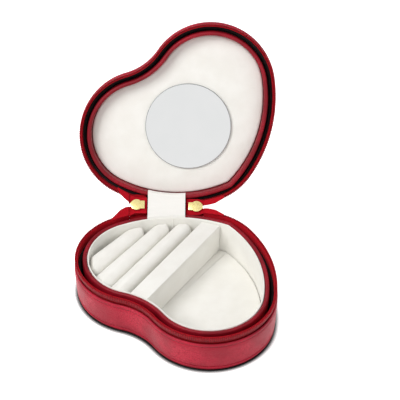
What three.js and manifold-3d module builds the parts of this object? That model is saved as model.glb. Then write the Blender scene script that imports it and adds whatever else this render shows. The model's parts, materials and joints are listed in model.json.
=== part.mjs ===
// Heart-shaped zip-around jewelry case, standing open with its lid leaning back.
//
// Millimetres, +Z up, +X along the hinge and +Y to the back. The origin is on the underside,
// midway between the centres of the heart's two lobes. Both halves are built as they lie when
// the case is shut, measured from the zip line between them, and the lid is then turned open.

import * as THREE from 'three';
import { mergeVertices } from 'three/addons/utils/BufferGeometryUtils.js';
import Module from 'manifold-3d';

const wasm = await Module();
wasm.setup();

// Whole case
const baseHeight = 26;
const lidHeight = 12.8;
const lidCrown = 1.6;
const lidPadEdge = 5;
const baseEdge = 2.4;
const baseLean = 0.8;
const lidEdge = 2.6;
const lidOpening = 118;

// Heart outline of the leather, made of tangent arcs
const heartTurn = 54.1;
const lobeSpread = 24.4;
const lobeRadius = 38;
const notchRadius = 34;
const tipReach = 59;
const tipRadius = 39;
const flankRadius = 81.5;
const collarTipRadius = 3.5;

// Steps on each arc of one half of the outline
const tipSteps = 5;
const flankSteps = 6;
const lobeSteps = 13;
const notchSteps = 4;
const edgeSteps = 3;

// Steps on a roll's corners, ends and crown
const rollCornerSteps = 3;
const rollEndSteps = 3;
const rollCrownSteps = 5;

// Sheet goods
const leather = 0.9;
const collarLeather = 0.5;
const board = 1.2;
const collarBoard = 0.8;
const velvet = 0.8;
const floorPad = 1.7;
const tape = 0.4;
const seat = 0.3;

// Leather cover
const coverTurn = 3.2;
const hemFold = 0.3;
const hemDepth = 2.2;
const leatherBelowZip = 5.2;

// Zip
const tapeTuck = 3.6;
const tapeBelowZip = 0.6;
const coilThickness = 0.8;
const coilWidth = 3.2;
const boardBelowHem = 0.6;

// Collar that stands inside the zip
const trench = 1.4;
const collarBelowZip = 0.75;
const collarRounding = 0.5;
const collarOuterSkirt = 12;
const collarInnerSkirt = 8;

// Base fittings, turned a little more than the heart
const fittingsTurn = 3;
const liningBelowCollar = 0.3;
const dividerAside = 2;
const dividerWidth = 10.7;
const dividerBelowZip = 2.5;
const rollsBesideDivider = 3.4;
const rollsBesideWall = 4.7;
const rollBelowZip = 3.6;
const rollCrown = 5.2;
const rollEndCrown = 3;
const rollCorner = 3.5;
const rollCornerLeast = 0.2;
const rollCount = 3;
const rollFan = 7;
const rollFanAlong = 12;
const rollTuck = 0.5;

// Lid fittings
const panelBelowZip = 7.7;
const mirrorRadius = 25.4;
const mirrorThickness = 1.2;
const mirrorAlong = 11.3;

// Hinge
const hingeProud = 0.169;
const hingeAside = -5.64;
const strapWidth = 22.2;
const strapThickness = 0.7;
const strapRise = 3.1;
const spineWidth = 23.2;
const spineReach = 13;
const chainRadius = 1.2;

// Sliders and their pulls
const sliderSpacing = 25.8;
const sliderLength = 8.6;
const sliderWidth = 6.7;
const sliderTailWidth = 4.9;
const sliderTailLength = 2.9;
const sliderNoseWidth = 2.2;
const sliderPlate = 0.7;
const sliderChannel = 1.8;
const sliderSlack = 0.7;
const sliderRoom = 0.4;
const bridgeWidth = 1.4;
const bridgeLength = 1.8;
const bailHeight = 1.5;
const bailSpan = 3.2;
const bailBar = 0.8;
const bailWidth = 1.6;
const pullLength = 19;
const pullWidth = 5.4;
const pullWaist = 3.6;
const pullThickness = 0.8;
const pullArm = 1.1;
const pullEyeLength = 3.3;

const radians = THREE.MathUtils.degToRad;

// Layers through the wall, each as its inset from the leather's outline
const tapeInset = leather + hemFold + seat;
const coilInset = tapeInset - seat - coilThickness;
const boardInset = tapeInset + tape + seat;
const collarWidth = 2 * collarLeather + 2 * seat + collarBoard;
const collarInset = boardInset + board + trench;
const rimWidth = collarInset + collarWidth;
const liningInset = rimWidth + seat;
const contentsInset = liningInset + velvet + seat;

// Heights in the base
const boardTop = leather + seat + board;
const floorBottom = boardTop + seat;
const floorTop = floorBottom + floorPad;
const contentsBottom = floorTop + seat;

// Centre of the circle that both flank arcs on one side share, seen from the other side
function flankCentre() {
  const lobe = new THREE.Vector2(0, lobeSpread);
  const tip = new THREE.Vector2(tipReach - tipRadius, 0);
  const toLobe = flankRadius - lobeRadius;
  const toTip = flankRadius - tipRadius;
  const span = lobe.distanceTo(tip);
  const along = (span ** 2 + toLobe ** 2 - toTip ** 2) / (2 * span);
  const aside = Math.sqrt(toLobe ** 2 - along ** 2);
  const direction = tip.clone().sub(lobe).normalize();
  const across = new THREE.Vector2(direction.y, -direction.x);
  return lobe.addScaledVector(direction, along).addScaledVector(across, aside);
}

const flank = flankCentre();

function arc(centre, radius, from, to, steps) {
  const points = [];
  for (let i = 0; i < steps; i += 1) {
    const angle = from + ((to - from) * i) / steps;
    points.push(new THREE.Vector2(
      centre.x + radius * Math.cos(angle),
      centre.y + radius * Math.sin(angle),
    ));
  }
  return points;
}

// Heart drawn in by inset, with its tip rounded to a radius, turned to its place in plan
function heart(inset, tipRounding) {
  const flankReach = flankRadius - inset - tipRounding;
  const lobe = new THREE.Vector2(0, lobeSpread);
  const tip = new THREE.Vector2(flank.x + Math.sqrt(flankReach ** 2 - flank.y ** 2), 0);
  const notchAway = Math.sqrt((lobeRadius + notchRadius) ** 2 - lobeSpread ** 2);
  const notch = new THREE.Vector2(-notchAway, 0);
  const tipEnd = tip.clone().sub(flank).angle();
  const flankEnd = lobe.clone().sub(flank).angle();
  const lobeEnd = notch.clone().sub(lobe).angle();
  const notchStart = lobe.clone().sub(notch).angle();
  const half = [
    ...arc(tip, tipRounding, 0, tipEnd, tipSteps),
    ...arc(flank, flankRadius - inset, tipEnd, flankEnd, flankSteps),
    ...arc(lobe, lobeRadius - inset, flankEnd, lobeEnd, lobeSteps),
    ...arc(notch, notchRadius + inset, notchStart, 0, notchSteps),
    new THREE.Vector2(notchRadius + inset - notchAway, 0),
  ];
  const mirrored = half.slice(1, -1).reverse().map((p) => new THREE.Vector2(p.x, -p.y));
  const origin = new THREE.Vector2();
  return [...half, ...mirrored].map((p) => p.rotateAround(origin, radians(heartTurn)));
}

const roundHeart = (inset) => heart(inset, tipRadius - inset);
const pointedHeart = (inset) => heart(inset, collarTipRadius + rimWidth - inset);

// Turns heart coordinates, along the axis to the tip and to its left, into the plan
function inPlan(along, left) {
  return new THREE.Vector2(along, left).rotateAround(new THREE.Vector2(), radians(heartTurn));
}

const level = (outline, z) => outline.map((p) => new THREE.Vector3(p.x, p.y, z));

// Skin through rings of equal count, closed on itself or capped by a fan at both ends
function loft(rings, { closed = false, flipped = false, hub = new THREE.Vector2() } = {}) {
  const count = rings[0].length;
  const positions = [];
  const add = (a, b, c) => {
    const corners = flipped ? [a, c, b] : [a, b, c];
    corners.forEach((p) => positions.push(p.x, p.y, p.z));
  };
  const last = closed ? rings.length : rings.length - 1;
  for (let i = 0; i < last; i += 1) {
    const low = rings[i];
    const high = rings[(i + 1) % rings.length];
    for (let j = 0; j < count; j += 1) {
      const k = (j + 1) % count;
      add(low[j], low[k], high[k]);
      add(low[j], high[k], high[j]);
    }
  }
  if (!closed) {
    const first = rings[0];
    const end = rings[rings.length - 1];
    const firstHub = new THREE.Vector3(hub.x, hub.y, hub.start ?? first[0].z);
    const endHub = new THREE.Vector3(hub.x, hub.y, hub.end ?? end[0].z);
    for (let j = 0; j < count; j += 1) {
      const k = (j + 1) % count;
      add(firstHub, first[k], first[j]);
      add(endHub, end[j], end[k]);
    }
  }
  const geometry = new THREE.BufferGeometry();
  geometry.setAttribute('position', new THREE.Float32BufferAttribute(positions, 3));
  return mergeVertices(geometry);
}

function toSolid(geometry) {
  const bare = geometry.clone();
  bare.deleteAttribute('normal');
  bare.deleteAttribute('uv');
  const merged = mergeVertices(bare);
  const mesh = new wasm.Mesh({
    numProp: 3,
    vertProperties: new Float32Array(merged.attributes.position.array),
    triVerts: new Uint32Array(merged.index.array),
  });
  return new wasm.Manifold(mesh);
}

function toGeometry(solid) {
  const mesh = solid.getMesh();
  const geometry = new THREE.BufferGeometry();
  geometry.setAttribute('position', new THREE.BufferAttribute(mesh.vertProperties, 3));
  geometry.setIndex(new THREE.BufferAttribute(mesh.triVerts, 1));
  return geometry;
}

const join = (pieces) => toGeometry(pieces.map(toSolid).reduce((sum, solid) => sum.add(solid)));
const cut = (piece, tools) => toGeometry(
  tools.map(toSolid).reduce((rest, solid) => rest.subtract(solid), toSolid(piece)),
);
const common = (a, b) => toGeometry(toSolid(a).intersect(toSolid(b)));

function boxBetween(low, high) {
  const size = new THREE.Vector3().subVectors(high, low);
  const centre = new THREE.Vector3().addVectors(low, high).multiplyScalar(0.5);
  return new THREE.BoxGeometry(size.x, size.y, size.z).translate(centre.x, centre.y, centre.z);
}

const finishes = {
  leather: new THREE.MeshStandardMaterial({ color: '#9c1530', roughness: 0.35 }),
  tape: new THREE.MeshStandardMaterial({ color: '#8a0c18', roughness: 0.75 }),
  coil: new THREE.MeshStandardMaterial({ color: '#a3142a', roughness: 0.45 }),
  velvet: new THREE.MeshStandardMaterial({ color: '#efebe2', roughness: 0.95 }),
  board: new THREE.MeshStandardMaterial({ color: '#b59a78', roughness: 0.9 }),
  foam: new THREE.MeshStandardMaterial({ color: '#e6dcc0', roughness: 1 }),
  mirror: new THREE.MeshStandardMaterial({ color: '#e8eaea', roughness: 0.05, metalness: 1 }),
  gold: new THREE.MeshStandardMaterial({ color: '#e8d37a', roughness: 0.3, metalness: 1 }),
};

function part(name, geometry, finish) {
  const mesh = new THREE.Mesh(geometry, finishes[finish]);
  mesh.name = name;
  return mesh;
}

// The hinge line, behind the back of the outline
const backCentre = inPlan(flank.x, flank.y);
const hingeMiddle = backCentre.x + hingeAside;
const hingeY = outlineBackAt(hingeMiddle, 0) + hingeProud;

function outlineBackAt(x, inset) {
  const radius = flankRadius - inset;
  return backCentre.y + Math.sqrt(radius ** 2 - (x - backCentre.x) ** 2);
}

// Sliders, one at each end of the hinge, nose away from the strap
const sliderSides = [{ name: 'left', sign: -1 }, { name: 'right', sign: 1 }].map((side) => {
  const tail = hingeMiddle + (side.sign * sliderSpacing) / 2;
  const nose = tail + side.sign * sliderLength;
  const coilMiddle = outlineBackAt((tail + nose) / 2, coilInset + coilThickness / 2);
  return { ...side, tail, nose, reach: hingeY - coilMiddle - sliderSlack };
});
const zipEnds = { left: sliderSides[0].nose - sliderRoom, right: sliderSides[1].nose + sliderRoom };

// Pieces that the base and the lid both have, measured by their depth from the zip line
const halves = {
  base: {
    sign: -1,
    height: baseHeight,
    crown: 0,
    edge: baseEdge,
    lean: baseLean,
    outerCover: 'base_bottom_cover',
  },
  lid: {
    sign: 1,
    height: lidHeight,
    crown: lidCrown,
    edge: lidEdge,
    lean: 0,
    outerCover: 'lid_top_cover',
  },
};

// The wall's outline at a depth, drawn in more and more below the hem
function leaning(half, inset, depth) {
  const start = leatherBelowZip + hemDepth;
  const share = Math.max(0, depth - start) / (half.height - start);
  return roundHeart(inset + half.lean * share);
}

function halfLoft(half, profile, options = {}) {
  const rings = profile.map(([outline, depth]) => level(outline, baseHeight + half.sign * depth));
  return loft(rings, { flipped: half.sign > 0, ...options });
}

const ring = (half, profile) => halfLoft(half, profile, { closed: true });

const scaled = (outline, share) => outline.map((p) => p.clone().multiplyScalar(share));
const crownShares = [0.3, 0.6, 0.85];

// Rings of a gently crowned plate, from its middle out, and the height of its middle
function crownRings(half, outline, depth) {
  if (!half.crown) return [];
  return crownShares.map((share) => [scaled(outline, share), depth + half.crown * (1 - share ** 2)]);
}

function crownHub(half, startDepth, endDepth) {
  const z = (depth) => baseHeight + half.sign * (depth + half.crown);
  return { x: 0, y: 0, start: z(startDepth), end: z(endDepth) };
}

// Rings round an edge, from the flat face at depth out to the side wall at inset
function edgeRings(half, radius, inset, out) {
  return Array.from({ length: edgeSteps + 1 }, (_, i) => {
    const angle = (Math.PI / 2) * (i / edgeSteps);
    const drawn = inset + radius * (1 - Math.sin(angle));
    const depth = out - radius * (1 - Math.cos(angle));
    return [leaning(half, drawn, depth), depth];
  });
}

function outerCover(half) {
  const out = half.height;
  const inner = out - leather;
  const turnEnd = out - coverTurn;
  const outside = edgeRings(half, half.edge, 0, out);
  const inside = edgeRings(half, half.edge - leather, leather, inner);
  return halfLoft(half, [
    ...crownRings(half, outside[0][0], out),
    ...outside,
    [leaning(half, 0, turnEnd), turnEnd],
    [leaning(half, leather, turnEnd), turnEnd],
    ...inside.reverse(),
    ...crownRings(half, inside[inside.length - 1][0], inner).reverse(),
  ], { hub: crownHub(half, out, inner) });
}

function sideCover(half) {
  const end = half.height - coverTurn - seat;
  const hemInset = leather + hemFold;
  return ring(half, [
    [leaning(half, 0, end), end],
    [roundHeart(0), leatherBelowZip + hemFold],
    [roundHeart(hemFold), leatherBelowZip],
    [roundHeart(hemInset), leatherBelowZip],
    [roundHeart(hemInset), leatherBelowZip + hemDepth],
    [roundHeart(leather), leatherBelowZip + hemDepth],
    [leaning(half, leather, end), end],
  ]);
}

function tray(half) {
  const out = half.height - leather - seat;
  const top = leatherBelowZip + boardBelowHem;
  const floor = out - board;
  return halfLoft(half, [
    [leaning(half, boardInset, out), out],
    [roundHeart(boardInset), top],
    [roundHeart(boardInset + board), top],
    [leaning(half, boardInset + board, floor), floor],
  ]);
}

function zipperTape(half) {
  const low = leatherBelowZip + tapeTuck;
  const band = ring(half, [
    [roundHeart(tapeInset), low],
    [roundHeart(tapeInset), tapeBelowZip],
    [roundHeart(tapeInset + tape), tapeBelowZip],
    [roundHeart(tapeInset + tape), low],
  ]);
  const windowDepth = sliderWidth / 2 + sliderRoom;
  const windows = sliderSides.map((side) => {
    const ends = [side.tail - side.sign * sliderRoom, side.nose + side.sign * sliderRoom];
    const z = [baseHeight, baseHeight + half.sign * windowDepth];
    return boxBetween(
      new THREE.Vector3(Math.min(...ends), 0, Math.min(...z)),
      new THREE.Vector3(Math.max(...ends), 2 * hingeY, Math.max(...z)),
    );
  });
  return cut(band, windows);
}

function zipperCoil(half) {
  const top = seat / 2;
  const low = top + coilWidth;
  const rail = ring(half, [
    [roundHeart(coilInset), low],
    [roundHeart(coilInset), top],
    [roundHeart(coilInset + coilThickness), top],
    [roundHeart(coilInset + coilThickness), low],
  ]);
  const behind = boxBetween(
    new THREE.Vector3(zipEnds.left, 0, 0),
    new THREE.Vector3(zipEnds.right, 2 * hingeY, 2 * baseHeight),
  );
  return cut(rail, [behind]);
}

function collarCover(half, innerSkirt, outerSkirt) {
  const top = collarBelowZip;
  const outside = pointedHeart(collarInset);
  const inside = pointedHeart(rimWidth);
  const outsideBack = pointedHeart(collarInset + collarLeather);
  const insideBack = pointedHeart(rimWidth - collarLeather);
  return ring(half, [
    [outside, top + outerSkirt],
    [outside, top + collarRounding],
    [pointedHeart(collarInset + collarRounding), top],
    [pointedHeart(rimWidth - collarRounding), top],
    [inside, top + collarRounding],
    [inside, top + innerSkirt],
    [insideBack, top + innerSkirt],
    [insideBack, top + collarLeather],
    [outsideBack, top + collarLeather],
    [outsideBack, top + outerSkirt],
  ]);
}

function collarStand(half, foot) {
  const top = collarBelowZip + collarLeather + seat;
  const outside = pointedHeart(collarInset + collarLeather + seat);
  const inside = pointedHeart(rimWidth - collarLeather - seat);
  return ring(half, [[outside, foot], [outside, top], [inside, top], [inside, foot]]);
}

function halfPieces(name, innerSkirt, outerSkirt) {
  const half = halves[name];
  const foot = half.height - boardTop - seat;
  return [
    part(half.outerCover, outerCover(half), 'leather'),
    part(`${name}_side_cover`, sideCover(half), 'leather'),
    part(`${name}_tray`, tray(half), 'board'),
    part(`${name}_zipper_tape`, zipperTape(half), 'tape'),
    part(`${name}_zipper_coil`, zipperCoil(half), 'coil'),
    part(`${name}_collar_board`, collarStand(half, foot), 'board'),
    part(`${name}_collar_cover`, collarCover(half, innerSkirt, outerSkirt), 'leather'),
  ];
}

// Base
function wallLining() {
  const top = collarBelowZip + liningBelowCollar;
  const foot = baseHeight - floorBottom;
  const outside = pointedHeart(liningInset);
  const inside = pointedHeart(liningInset + velvet);
  return ring(halves.base, [[outside, foot], [outside, top], [inside, top], [inside, foot]]);
}

function floorLining() {
  const outline = pointedHeart(contentsInset);
  return loft([level(outline, floorBottom), level(outline, floorTop)]);
}

// Turns coordinates along and left of the fittings into the plan
function inFittings(along, left) {
  return new THREE.Vector2(along, left)
    .rotateAround(new THREE.Vector2(), radians(heartTurn + fittingsTurn));
}

// Upright slab along the fittings, from one wall to the other, shrunk by a margin all round
function dividerBlock(margin, bottom, top) {
  const outline = pointedHeart(contentsInset + margin);
  const prism = loft([level(outline, bottom), level(outline, top)]);
  const strip = boxBetween(
    new THREE.Vector3(-tipReach, dividerAside + margin, bottom - seat),
    new THREE.Vector3(tipReach, dividerAside + dividerWidth - margin, top + seat),
  ).rotateZ(radians(heartTurn + fittingsTurn));
  return common(prism, strip);
}

const dividerTop = baseHeight - dividerBelowZip;

// The rolls share the room between the divider and the wall's furthest point
const firstRollStart = dividerAside + dividerWidth + rollsBesideDivider;
const wallAside = lobeSpread + lobeRadius - contentsInset;
const rollPitch = (wallAside - rollsBesideWall - firstRollStart) / rollCount;
const rollWidth = rollPitch - seat;

function dividerPieces() {
  const cover = dividerBlock(0, contentsBottom, dividerTop);
  const hollow = dividerBlock(velvet, contentsBottom - seat, dividerTop - velvet);
  const core = dividerBlock(velvet + seat, contentsBottom, dividerTop - velvet - seat);
  return [
    part('divider_cover', cut(cover, [hollow]), 'velvet'),
    part('divider_core', core, 'board'),
  ];
}

// Where a line through a point leaves a circle, going forward along it (1) or back (-1)
function leaves(point, direction, circle, sign) {
  const away = point.clone().sub(circle.centre);
  const halfway = -away.dot(direction);
  const reach = Math.sqrt(halfway ** 2 - away.lengthSq() + circle.radius ** 2);
  return point.clone().addScaledVector(direction, halfway + sign * reach);
}

// Side of a roll as a line, counted from the divider; the sides fan out more and more
function rollSide(place, inset) {
  const turn = -radians(rollFan) * (place / rollCount) ** 2;
  const along = new THREE.Vector2(Math.cos(turn), Math.sin(turn));
  const aside = new THREE.Vector2(-along.y, along.x);
  const start = new THREE.Vector2(rollFanAlong, firstRollStart + rollPitch * place);
  return { along, aside, point: start.addScaledVector(aside, inset) };
}

// Outline of a roll between two sides, with ends that follow the wall and round corners
function rollOutline(place, sideInset, endInset) {
  const corner = Math.max(rollCorner - sideInset, rollCornerLeast);
  const origin = new THREE.Vector2();
  const lobe = new THREE.Vector2(0, lobeSpread).rotateAround(origin, -radians(fittingsTurn));
  const side = flank.clone().rotateAround(origin, -radians(fittingsTurn));
  const sides = [
    { ...rollSide(place, seat / 2 + sideInset + corner), outwards: -1 },
    { ...rollSide(place + 1, -seat / 2 - sideInset - corner), outwards: 1 },
  ];
  const walls = [
    { centre: side, radius: flankRadius - contentsInset - endInset - corner, sign: 1 },
    { centre: lobe, radius: lobeRadius - contentsInset - endInset - corner, sign: -1 },
  ];
  const points = [];
  for (const wall of walls) {
    const corners = (wall.sign > 0 ? sides : [...sides].reverse()).map((line) => {
      const centre = leaves(line.point, line.along, wall, wall.sign);
      const facing = Math.atan2(line.aside.y, line.aside.x) + (line.outwards < 0 ? -Math.PI : 0);
      return { centre, facing, ahead: centre.clone().sub(wall.centre).angle() };
    });
    const [first, second] = corners;
    const turned = (angle, after) => angle + 2 * Math.PI * Math.ceil((after - angle) / (2 * Math.PI));
    const start = first.facing;
    const firstAhead = turned(first.ahead, start);
    const secondAhead = turned(second.ahead, firstAhead);
    const end = turned(second.facing, secondAhead);
    points.push(
      ...arc(first.centre, corner, start, firstAhead, rollCornerSteps),
      ...arc(wall.centre, wall.radius + corner, firstAhead, secondAhead, rollEndSteps),
      ...arc(second.centre, corner, secondAhead, end, rollCornerSteps),
      ...arc(second.centre, corner, end, end + Math.PI, 1),
    );
  }
  return points.map((p) => inFittings(p.x, p.y));
}

// Levels of a roll: sides drawn in at the foot, full in the middle, and a round crown
function rollRings(place, inset, top) {
  const shoulder = top - rollCrown + inset;
  const crown = rollCrown - inset;
  const half = rollWidth / 2 - inset;
  const end = rollEndCrown - inset;
  const rings = [
    [rollTuck, rollTuck, contentsBottom],
    [0, 0, (contentsBottom + shoulder) / 2],
    [0, 0, shoulder],
  ];
  for (let i = 1; i < rollCrownSteps; i += 1) {
    const angle = (Math.PI / 2) * (i / rollCrownSteps);
    const drawn = 1 - Math.cos(angle);
    rings.push([half * drawn, end * drawn, shoulder + crown * Math.sin(angle)]);
  }
  return rings.map(([aside, ahead, z]) => level(rollOutline(place, inset + aside, inset + ahead), z));
}

function rollPieces() {
  const top = baseHeight - rollBelowZip;
  const pieces = [];
  for (let i = 0; i < rollCount; i += 1) {
    const place = rollCount - i - 1;
    const hub = inFittings(rollFanAlong, firstRollStart + rollPitch * (place + 0.5));
    const cover = rollRings(place, 0, top);
    const inner = rollRings(place, velvet, top - velvet);
    const core = rollRings(place, velvet + seat, top - velvet - seat);
    const name = `ring_roll_${i + 1}`;
    const coverHub = { x: hub.x, y: hub.y, start: top - velvet, end: top };
    const coreHub = { x: hub.x, y: hub.y, end: top - velvet - seat };
    pieces.push(
      part(`${name}_cover`, loft([...inner.reverse(), ...cover], { hub: coverHub }), 'velvet'),
      part(`${name}_foam`, loft(core, { hub: coreHub }), 'foam'),
    );
  }
  return pieces;
}

// Lid
function panelCover() {
  const outside = pointedHeart(liningInset);
  const inside = pointedHeart(liningInset + velvet);
  const low = panelBelowZip + velvet;
  const foot = lidHeight - boardTop - seat;
  return halfLoft(halves.lid, [
    [inside, low],
    [inside, foot],
    [outside, foot],
    [outside, panelBelowZip],
  ]);
}

function panelBoard() {
  const outline = pointedHeart(liningInset + velvet + seat);
  const low = panelBelowZip + velvet + seat;
  return halfLoft(halves.lid, [[outline, lidHeight - boardTop - seat], [outline, low]]);
}

function mirrorGlass() {
  const place = inPlan(mirrorAlong, 0);
  const middle = baseHeight + panelBelowZip - seat - mirrorThickness / 2;
  return new THREE.CylinderGeometry(mirrorRadius, mirrorRadius, mirrorThickness, 48)
    .rotateX(Math.PI / 2)
    .translate(place.x, place.y, middle);
}

function lidPad() {
  const half = halves.lid;
  const outline = roundHeart(boardInset);
  const top = lidHeight - leather - seat;
  const rings = crownRings(half, outline, top);
  const hub = { x: 0, y: 0, start: baseHeight + top + half.crown, end: baseHeight + top + seat };
  return halfLoft(half, [...rings, [roundHeart(boardInset + lidPadEdge), top + seat]], { hub });
}

// Hinge
// A strip of even thickness along a path in the YZ plane, bent from station to station along X
function strip(stations, thickness) {
  const sections = stations.map(({ x, path }) => {
    const sides = [1, -1].map((side) => path.map((p, i) => {
      const before = path[Math.max(i - 1, 0)];
      const after = path[Math.min(i + 1, path.length - 1)];
      const along = after.clone().sub(before).normalize();
      const aside = (side * thickness) / 2;
      return new THREE.Vector3(x, p.x - along.y * aside, p.y + along.x * aside);
    }));
    return [...sides[0], ...sides[1].reverse()];
  });
  const count = sections[0].length;
  const positions = [];
  const add = (...corners) => corners.forEach((p) => positions.push(p.x, p.y, p.z));
  for (let i = 0; i < sections.length - 1; i += 1) {
    for (let j = 0; j < count; j += 1) {
      const k = (j + 1) % count;
      add(sections[i][j], sections[i + 1][k], sections[i][k]);
      add(sections[i][j], sections[i + 1][j], sections[i + 1][k]);
    }
  }
  const caps = [[sections[0], false], [sections[sections.length - 1], true]];
  for (const [section, turned] of caps) {
    for (let j = 0; j < count / 2 - 1; j += 1) {
      const [a, b] = [section[j], section[j + 1]];
      const [c, d] = [section[count - 2 - j], section[count - 1 - j]];
      if (turned) {
        add(a, c, b);
        add(a, d, c);
      } else {
        add(a, b, c);
        add(a, c, d);
      }
    }
  }
  const geometry = new THREE.BufferGeometry();
  geometry.setAttribute('position', new THREE.Float32BufferAttribute(positions, 3));
  return mergeVertices(geometry);
}

// A path over the hinge: its base half, and the same points carried over to the open lid
function overHinge(basePoints, middle) {
  const axis = new THREE.Vector2(hingeY, baseHeight);
  const base = basePoints.map((p) => p.clone().add(axis));
  const turned = basePoints.map((p) => new THREE.Vector2(p.x, -p.y)
    .rotateAround(new THREE.Vector2(), -radians(lidOpening))
    .add(axis));
  return [...base, middle.clone().add(axis), ...turned.reverse()];
}

// Direction from the hinge axis into the case, halfway between the base and the open lid
const inward = new THREE.Vector2(-1, 0)
  .rotateAround(new THREE.Vector2(), -radians(lidOpening) / 2);

function stationsAcross(width, count) {
  const step = width / (count - 1);
  return Array.from({ length: count }, (_, i) => hingeMiddle - width / 2 + step * i);
}

function hingeStrap() {
  const half = strapThickness / 2;
  const over = half + seat - collarBelowZip;
  const stations = stationsAcross(strapWidth, 5).map((x) => {
    const collarEdge = outlineBackAt(x, rimWidth) - hingeY;
    const top = new THREE.Vector2(collarEdge - velvet / 2, -collarBelowZip + seat);
    const bend = new THREE.Vector2(collarEdge + half, over + seat);
    const rest = new THREE.Vector2(collarEdge + collarWidth, over + 3 * seat);
    const low = [top, bend, rest];
    return { x, path: overHinge(low, inward.clone().multiplyScalar(strapRise)) };
  });
  return strip(stations, strapThickness);
}

function spine() {
  const fold = chainRadius + seat + leather / 2;
  const stations = stationsAcross(spineWidth, 7).map((x) => {
    const face = outlineBackAt(x, 0) - hingeY + seat + leather / 2;
    const legs = [
      new THREE.Vector2(face, -spineReach),
      new THREE.Vector2(face, -leatherBelowZip),
      new THREE.Vector2(seat + leather / 2, -2 * fold),
    ];
    return { x, path: overHinge(legs, inward.clone().multiplyScalar(-fold)) };
  });
  return strip(stations, leather);
}

function hingeChain() {
  const length = sliderSpacing - 2 * seat;
  return new THREE.CylinderGeometry(chainRadius, chainRadius, length, 10)
    .rotateZ(Math.PI / 2)
    .translate(hingeMiddle, hingeY, baseHeight);
}

// Sliders, drawn lying flat on the shut zip: X along it, Z across it and +Y outwards
function sliderPlateOutline() {
  const tail = sliderTailWidth / 2;
  const wide = sliderWidth / 2;
  const nose = sliderNoseWidth / 2;
  const shoulder = (sliderTailLength + sliderLength) / 2 - bridgeWidth / 2;
  const shape = new THREE.Shape();
  shape.moveTo(0, -tail);
  shape.lineTo(sliderTailLength, -tail);
  shape.quadraticCurveTo(sliderTailLength + seat, -wide, shoulder, -wide);
  shape.quadraticCurveTo(sliderLength - nose, -wide, sliderLength, -nose);
  shape.lineTo(sliderLength, nose);
  shape.quadraticCurveTo(sliderLength - nose, wide, shoulder, wide);
  shape.quadraticCurveTo(sliderTailLength + seat, wide, sliderTailLength, tail);
  shape.lineTo(0, tail);
  return shape;
}

function sliderPlateAt(y) {
  return new THREE.ExtrudeGeometry(sliderPlateOutline(), {
    depth: sliderPlate,
    bevelEnabled: false,
    curveSegments: 4,
  }).rotateX(Math.PI / 2).translate(0, y + sliderPlate, 0);
}

function bail(face) {
  const middle = sliderTailLength + bailBar;
  const inner = bailSpan / 2;
  const outer = inner + bailBar;
  const top = bailHeight + bailBar;
  const shape = new THREE.Shape();
  shape.moveTo(-outer, -sliderPlate / 2);
  shape.lineTo(-outer, bailHeight);
  shape.quadraticCurveTo(-outer, top, -inner, top);
  shape.lineTo(inner, top);
  shape.quadraticCurveTo(outer, top, outer, bailHeight);
  shape.lineTo(outer, -sliderPlate / 2);
  shape.lineTo(inner, -sliderPlate / 2);
  shape.lineTo(inner, bailHeight);
  shape.lineTo(-inner, bailHeight);
  shape.lineTo(-inner, -sliderPlate / 2);
  return new THREE.ExtrudeGeometry(shape, { depth: bailWidth, bevelEnabled: false, curveSegments: 3 })
    .translate(middle, face, -bailWidth / 2);
}

function sliderBody() {
  const channel = sliderChannel / 2;
  const bridgeEnd = sliderLength - sliderNoseWidth / 2;
  const bridge = boxBetween(
    new THREE.Vector3(bridgeEnd - bridgeLength, -channel - sliderPlate / 2, -bridgeWidth / 2),
    new THREE.Vector3(bridgeEnd, channel + sliderPlate / 2, bridgeWidth / 2),
  );
  const lips = [1, -1].flatMap((side) => [1, -1].map((edge) => {
    const across = edge * (sliderTailWidth / 2 - sliderPlate / 2);
    const foot = side * (channel + sliderPlate / 2);
    const lip = side * (channel - sliderPlate / 2);
    return boxBetween(
      new THREE.Vector3(0, Math.min(foot, lip), across - sliderPlate / 4),
      new THREE.Vector3(sliderTailLength, Math.max(foot, lip), across + sliderPlate / 4),
    );
  }));
  const plates = [sliderPlateAt(channel), sliderPlateAt(-channel - sliderPlate)];
  return join([...plates, bridge, ...lips, bail(channel + sliderPlate)]);
}

// Pull tab hanging from the bail, pointing outwards, with its eye round the bail's bar
function pullTab() {
  const eye = bailWidth / 2 + sliderRoom;
  const shoulder = eye + pullArm;
  const bar = pullThickness / 2;
  const eyeEnd = bar + pullEyeLength;
  const waist = pullWaist / 2;
  const wide = pullWidth / 2;
  const shape = new THREE.Shape();
  shape.moveTo(-bar, -shoulder);
  shape.lineTo(eyeEnd, -shoulder);
  shape.quadraticCurveTo(eyeEnd + pullArm, -waist, eyeEnd + 2 * pullArm, -waist);
  shape.lineTo(pullLength - 2 * wide, -wide);
  shape.lineTo(pullLength - wide, -wide);
  shape.absarc(pullLength - wide, 0, wide, -Math.PI / 2, Math.PI / 2, false);
  shape.lineTo(pullLength - 2 * wide, wide);
  shape.lineTo(eyeEnd + 2 * pullArm, waist);
  shape.quadraticCurveTo(eyeEnd + pullArm, waist, eyeEnd, shoulder);
  shape.lineTo(-bar, shoulder);
  const hole = new THREE.Path();
  hole.moveTo(bar, -eye);
  hole.lineTo(bar, eye);
  hole.lineTo(eyeEnd, eye);
  hole.lineTo(eyeEnd, -eye);
  shape.holes.push(hole);
  const basis = new THREE.Matrix4().makeBasis(
    new THREE.Vector3(0, 1, 0),
    new THREE.Vector3(0, 0, 1),
    new THREE.Vector3(1, 0, 0),
  );
  return new THREE.ExtrudeGeometry(shape, {
    depth: pullThickness,
    bevelEnabled: false,
    curveSegments: 6,
  }).translate(0, 0, -pullThickness / 2).applyMatrix4(basis);
}

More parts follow.
